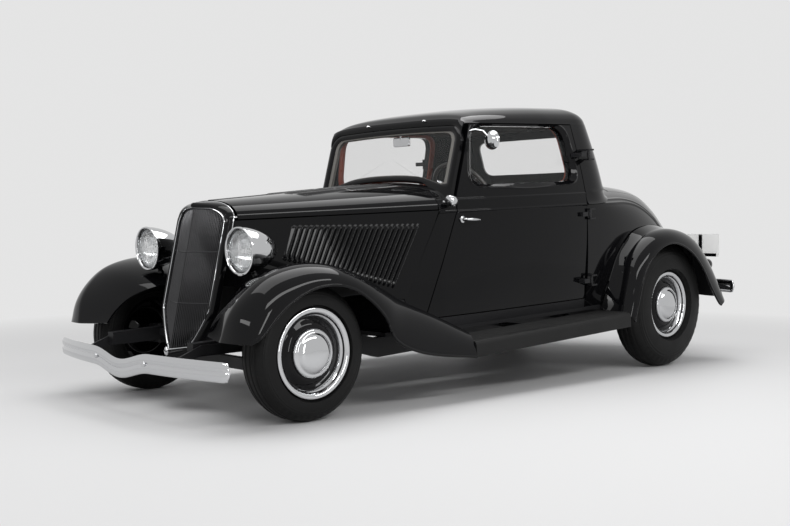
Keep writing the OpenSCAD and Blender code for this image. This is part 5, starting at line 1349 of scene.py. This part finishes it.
def swollen(obj, cap):
    """Remesh a pad at 6 mm and blow it up by cloth pressure for 20 frames, no point moving past the cap."""
    bpy.context.view_layer.objects.active = obj
    remesh = obj.modifiers.new("remesh", "REMESH")
    remesh.voxel_size = 0.006
    with bpy.context.temp_override(object=obj, active_object=obj):
        bpy.ops.object.modifier_apply(modifier=remesh.name)
    start = np.empty(3 * len(obj.data.vertices))
    obj.data.vertices.foreach_get("co", start)
    cloth = obj.modifiers.new("cloth", "CLOTH")
    cloth.settings.use_pressure = True
    cloth.settings.uniform_pressure_force = 4.0
    cloth.settings.effector_weights.gravity = 0.0
    for number in range(1, 21):
        bpy.context.scene.frame_set(number)
    with bpy.context.temp_override(object=obj, active_object=obj):
        bpy.ops.object.modifier_apply(modifier=cloth.name)
    bpy.context.scene.frame_set(1)
    stop = np.empty_like(start)
    obj.data.vertices.foreach_get("co", stop)
    move = (stop - start).reshape(-1, 3)
    size = np.linalg.norm(move, axis=1, keepdims=True)
    move = move * np.minimum(1.0, cap / np.maximum(size, 1e-9))
    obj.data.vertices.foreach_set("co", start + move.ravel())


def pleat(obj, pitch, depth, edge):
    """Press sewn channels into a pad: in along its normals where x meets a channel, short of its ends."""
    mesh = obj.data
    count = len(mesh.vertices)
    points = np.empty(3 * count)
    mesh.vertices.foreach_get("co", points)
    points = points.reshape(-1, 3)
    normal = np.empty(3 * count)
    mesh.vertex_normals.foreach_get("vector", normal)
    off = np.abs((points[:, 0] / pitch + 0.5) % 1.0 - 0.5) * pitch
    groove = depth * np.exp(-(off / 0.008) ** 2) * (np.abs(points[:, 0]) < edge)
    points = points - normal.reshape(-1, 3) * groove[:, None]
    mesh.vertices.foreach_set("co", points.ravel())
    mesh.shade_smooth()


seat_half = 0.445
cushion_pad = pad_grid((-seat_half, 1.665, 0.402), (seat_half, 2.135, 0.540))
cushion = skin("seat_cushion", [place(cushion_pad)], leather, "leather", nodes=("seat_cushion",))
back_pad = pad_grid((-seat_half, 0.012, 0.018), (seat_half, 0.088, 0.525))
lean = math.radians(8.0)
x, deep, tall = np.moveaxis(back_pad, -1, 0)
back_pad = np.stack([x, 2.160 + deep * math.cos(lean) + tall * math.sin(lean),
                     0.4143 - deep * math.sin(lean) + tall * math.cos(lean)], -1)
seat_back = skin("seat_back", [place(back_pad)], leather, "leather", nodes=("seat_back",))
for cushion_piece in (cushion, seat_back):
    swollen(cushion_piece, 0.012)
    pleat(cushion_piece, 0.074, 0.007, 0.42)


# Dash and wheel: a pressed steel dash painted oxblood with an oval instrument panel, and a dark plastic
# steering wheel with bright spokes on its column.
dash_h = np.linspace(0.905, 1.000, 8)
dash_rise = (dash_h - belt_h) / (hood_crown(hood_rear) - belt_h - 0.030)
dash_share = np.maximum(1.0 - dash_rise ** arch_power, 0.0) ** (1.0 / arch_power)
dash_half = (belt_half(hood_rear) - 0.030) * dash_share - 0.014
dash_loop = np.concatenate([np.stack([dash_half, dash_h], -1), np.stack([-dash_half, dash_h], -1)[::-1]])
dash_ring = ring(dash_loop, 0.0 * dash_loop + [0.0, 0.95], 8)
dash_bow = 0.012 * np.sin(np.linspace(0.0, 0.5 * np.pi, 8))[:, None]
dash_face = np.stack([dash_ring[..., 0], 1.201 + dash_bow + 0.0 * dash_ring[..., 0], dash_ring[..., 1]], -1)
dash_rear = np.stack([dash_ring[..., 0], 1.088 + 0.0 * dash_ring[..., 0], dash_ring[..., 1]], -1)
sheet("dashboard", [place(dash_face)], [place(dash_rear)], garnish, "garnish", nodes=("dashboard",))
gauge_rows = [[0.0, -0.006], [0.036, -0.006], [0.040, 0.002], [0.037, 0.006], [0.034, 0.002], [0.0, 0.002]]
gauges = [place(turned(gauge_rows, "s", (x, 1.216, 0.952), 48)) for x in (-0.10, 0.0, 0.10)]
skin("dash_gauges", gauges, chrome, "chrome")
plastic = finish("wheel_plastic", (0.03, 0.028, 0.025), 0.25, 0.35, 300.0, 0.02)
tilt = math.radians(-58.0)


def on_column(points):
    """Points about the steering wheel's hub, tilted to the column and moved to its place."""
    x, y, z = np.moveaxis(np.asarray(points, float), -1, 0)
    return place(np.stack([x + 0.310, y * math.cos(tilt) - z * math.sin(tilt) + 1.480,
                           y * math.sin(tilt) + z * math.cos(tilt) + 0.985], -1))


around = np.linspace(0.0, 2.0 * np.pi, 97)
small = np.linspace(0.0, 2.0 * np.pi, 17)[:, None]
rim_r = 0.195 + 0.012 * np.cos(small)
rim = np.stack([rim_r * np.cos(around), rim_r * np.sin(around), 0.012 * np.sin(small) + 0.0 * around], -1)
hub_rows = [[0.0, -0.012], [0.038, -0.012], [0.040, -0.006], [0.036, 0.006], [0.022, 0.012], [0.0, 0.014]]
hub = lathe(hub_rows, 48)[..., (1, 2, 0)]
column = tube(on_column([[0.0, 0.0, -0.560], [0.0, 0.0, -0.010]]), 0.018, 20)
skin("steering_wheel", [on_column(rim), on_column(hub)] + column, plastic, "steering_plastic",
     nodes=("steering_wheel",))
spokes = []
for k in range(3):
    a = math.radians(90.0 + 120.0 * k)
    for shift in (-0.007, 0.0, 0.007):
        base = np.array([[0.034, shift, 0.002], [0.110, shift, 0.004], [0.188, shift, 0.0]])
        turned_base = np.stack([base[:, 0] * math.cos(a) - base[:, 1] * math.sin(a),
                                base[:, 0] * math.sin(a) + base[:, 1] * math.cos(a), base[:, 2]], -1)
        spokes += tube(on_column(turned_base), 0.0024, 8)
skin("wheel_spokes", spokes, chrome, "chrome")


# Headliner and mirror: dark cloth glued under the roof, and a small bright mirror on the header.
# The cloth follows the roof's inner skin.
headliner_cloth = finish("headliner_cloth", (0.05, 0.045, 0.04), 0.8, 0.9, 700.0, 0.2)
roof_skin = roof_in[2::2, 4:-1:2]
sheet("headliner", both_sides(roof_skin - [0.0, 0.0, 0.002]), both_sides(roof_skin - [0.0, 0.0, 0.005]),
      headliner_cloth, "garnish")
skin("inner_mirror", [place(pad_grid((-0.065, 1.305, 1.262), (0.065, 1.320, 1.315)))] +
     tube(place([[0.0, 1.310, 1.300], [0.0, 1.300, 1.345]]), 0.005, 10), chrome, "chrome")


# Stage: a plain pale floor that fades into a pale backdrop, a soft box overhead, strips at the left and
# ahead, and the camera at the left front.
def backdrop_rays(tree):
    """1 for rays from the camera, mirrors and glass, which see the backdrop, and 0 for the light itself."""
    path = tree.nodes.new("ShaderNodeLightPath")
    seen = path.outputs["Is Camera Ray"]
    for label in ("Is Glossy Ray", "Is Transmission Ray"):
        most = tree.nodes.new("ShaderNodeMath")
        most.operation = "MAXIMUM"
        tree.links.new(seen, most.inputs[0])
        tree.links.new(path.outputs[label], most.inputs[1])
        seen = most.outputs[0]
    return seen


backdrop = (0.78, 0.78, 0.78, 1.0)
floor_material = bpy.data.materials.new("stage_floor")
floor_material.use_nodes = True
tree = floor_material.node_tree
floor_shader = tree.nodes["Principled BSDF"]
floor_shader.inputs["Base Color"].default_value = (0.6, 0.6, 0.6, 1.0)
floor_shader.inputs["Roughness"].default_value = 0.6
length = tree.nodes.new("ShaderNodeVectorMath")
length.operation = "LENGTH"
tree.links.new(tree.nodes.new("ShaderNodeTexCoord").outputs["Object"], length.inputs[0])
far = tree.nodes.new("ShaderNodeMath")
far.operation = "MULTIPLY"
tree.links.new(ramp(tree, length.outputs["Value"], 2.0, 5.5, 0.0, 1.0), far.inputs[0])
tree.links.new(backdrop_rays(tree), far.inputs[1])
haze = tree.nodes.new("ShaderNodeEmission")
haze.inputs["Color"].default_value = backdrop
blend = tree.nodes.new("ShaderNodeMixShader")
tree.links.new(far.outputs[0], blend.inputs[0])
tree.links.new(floor_shader.outputs[0], blend.inputs[1])
tree.links.new(haze.outputs[0], blend.inputs[2])
tree.links.new(blend.outputs[0], tree.nodes["Material Output"].inputs["Surface"])
mesh = bpy.data.meshes.new("floor")
floor_half = 30.0
corners = [(x * floor_half, y * floor_half, 0.0) for x, y in ((-1, -1), (1, -1), (1, 1), (-1, 1))]
mesh.from_pydata(corners, [], [(0, 1, 2, 3)])
mesh.materials.append(floor_material)
floor = bpy.data.objects.new("floor", mesh)
bpy.context.collection.objects.link(floor)
world = bpy.data.worlds.new("studio")
world.use_nodes = True
bpy.context.scene.world = world
nodes = world.node_tree.nodes
links = world.node_tree.links
nodes.clear()
seen = nodes.new("ShaderNodeBackground")
seen.inputs["Color"].default_value = backdrop
dim = nodes.new("ShaderNodeBackground")
dim.inputs["Color"].default_value = (0.35, 0.35, 0.36, 1.0)
both = nodes.new("ShaderNodeMixShader")
out = nodes.new("ShaderNodeOutputWorld")
links.new(backdrop_rays(world.node_tree), both.inputs[0])
links.new(dim.outputs[0], both.inputs[1])
links.new(seen.outputs[0], both.inputs[2])
links.new(both.outputs[0], out.inputs[0])
for name, spot, aim, size, power in (
        ("overhead", (0.0, -0.3, 4.6), (0.0, -0.2, 0.0), (3.2, 6.5), 230.0),
        ("left_strip", (4.6, -0.4, 3.6), (0.0, 0.0, 0.6), (6.0, 0.7), 120.0),
        ("left_upright", (5.6, -2.2, 1.3), (0.0, -0.8, 0.8), (0.5, 2.2), 36.0),
        ("front_strip", (1.2, -6.5, 3.0), (0.0, 0.0, 0.7), (3.6, 0.6), 60.0)):
    light = bpy.data.lights.new(name, "AREA")
    light.shape = "RECTANGLE"
    light.size, light.size_y = size
    light.energy = power
    lamp = bpy.data.objects.new(name, light)
    lamp.location = spot
    lamp.rotation_euler = (mathutils.Vector(aim) - mathutils.Vector(spot)).to_track_quat("-Z", "Y").to_euler()
    lamp.visible_camera = False
    bpy.context.collection.objects.link(lamp)
camera_data = bpy.data.cameras.new("camera")
camera_data.lens = 48.96
camera_data.sensor_width = 36.0
camera = bpy.data.objects.new("camera", camera_data)
camera.location = (4.46456, -4.61044, 0.87112)
camera.rotation_euler = (math.radians(90.0 - 1.916), 0.0, math.radians(46.841))
bpy.context.collection.objects.link(camera)
bpy.context.scene.camera = camera
bpy.context.scene.view_settings.view_transform = "Standard"
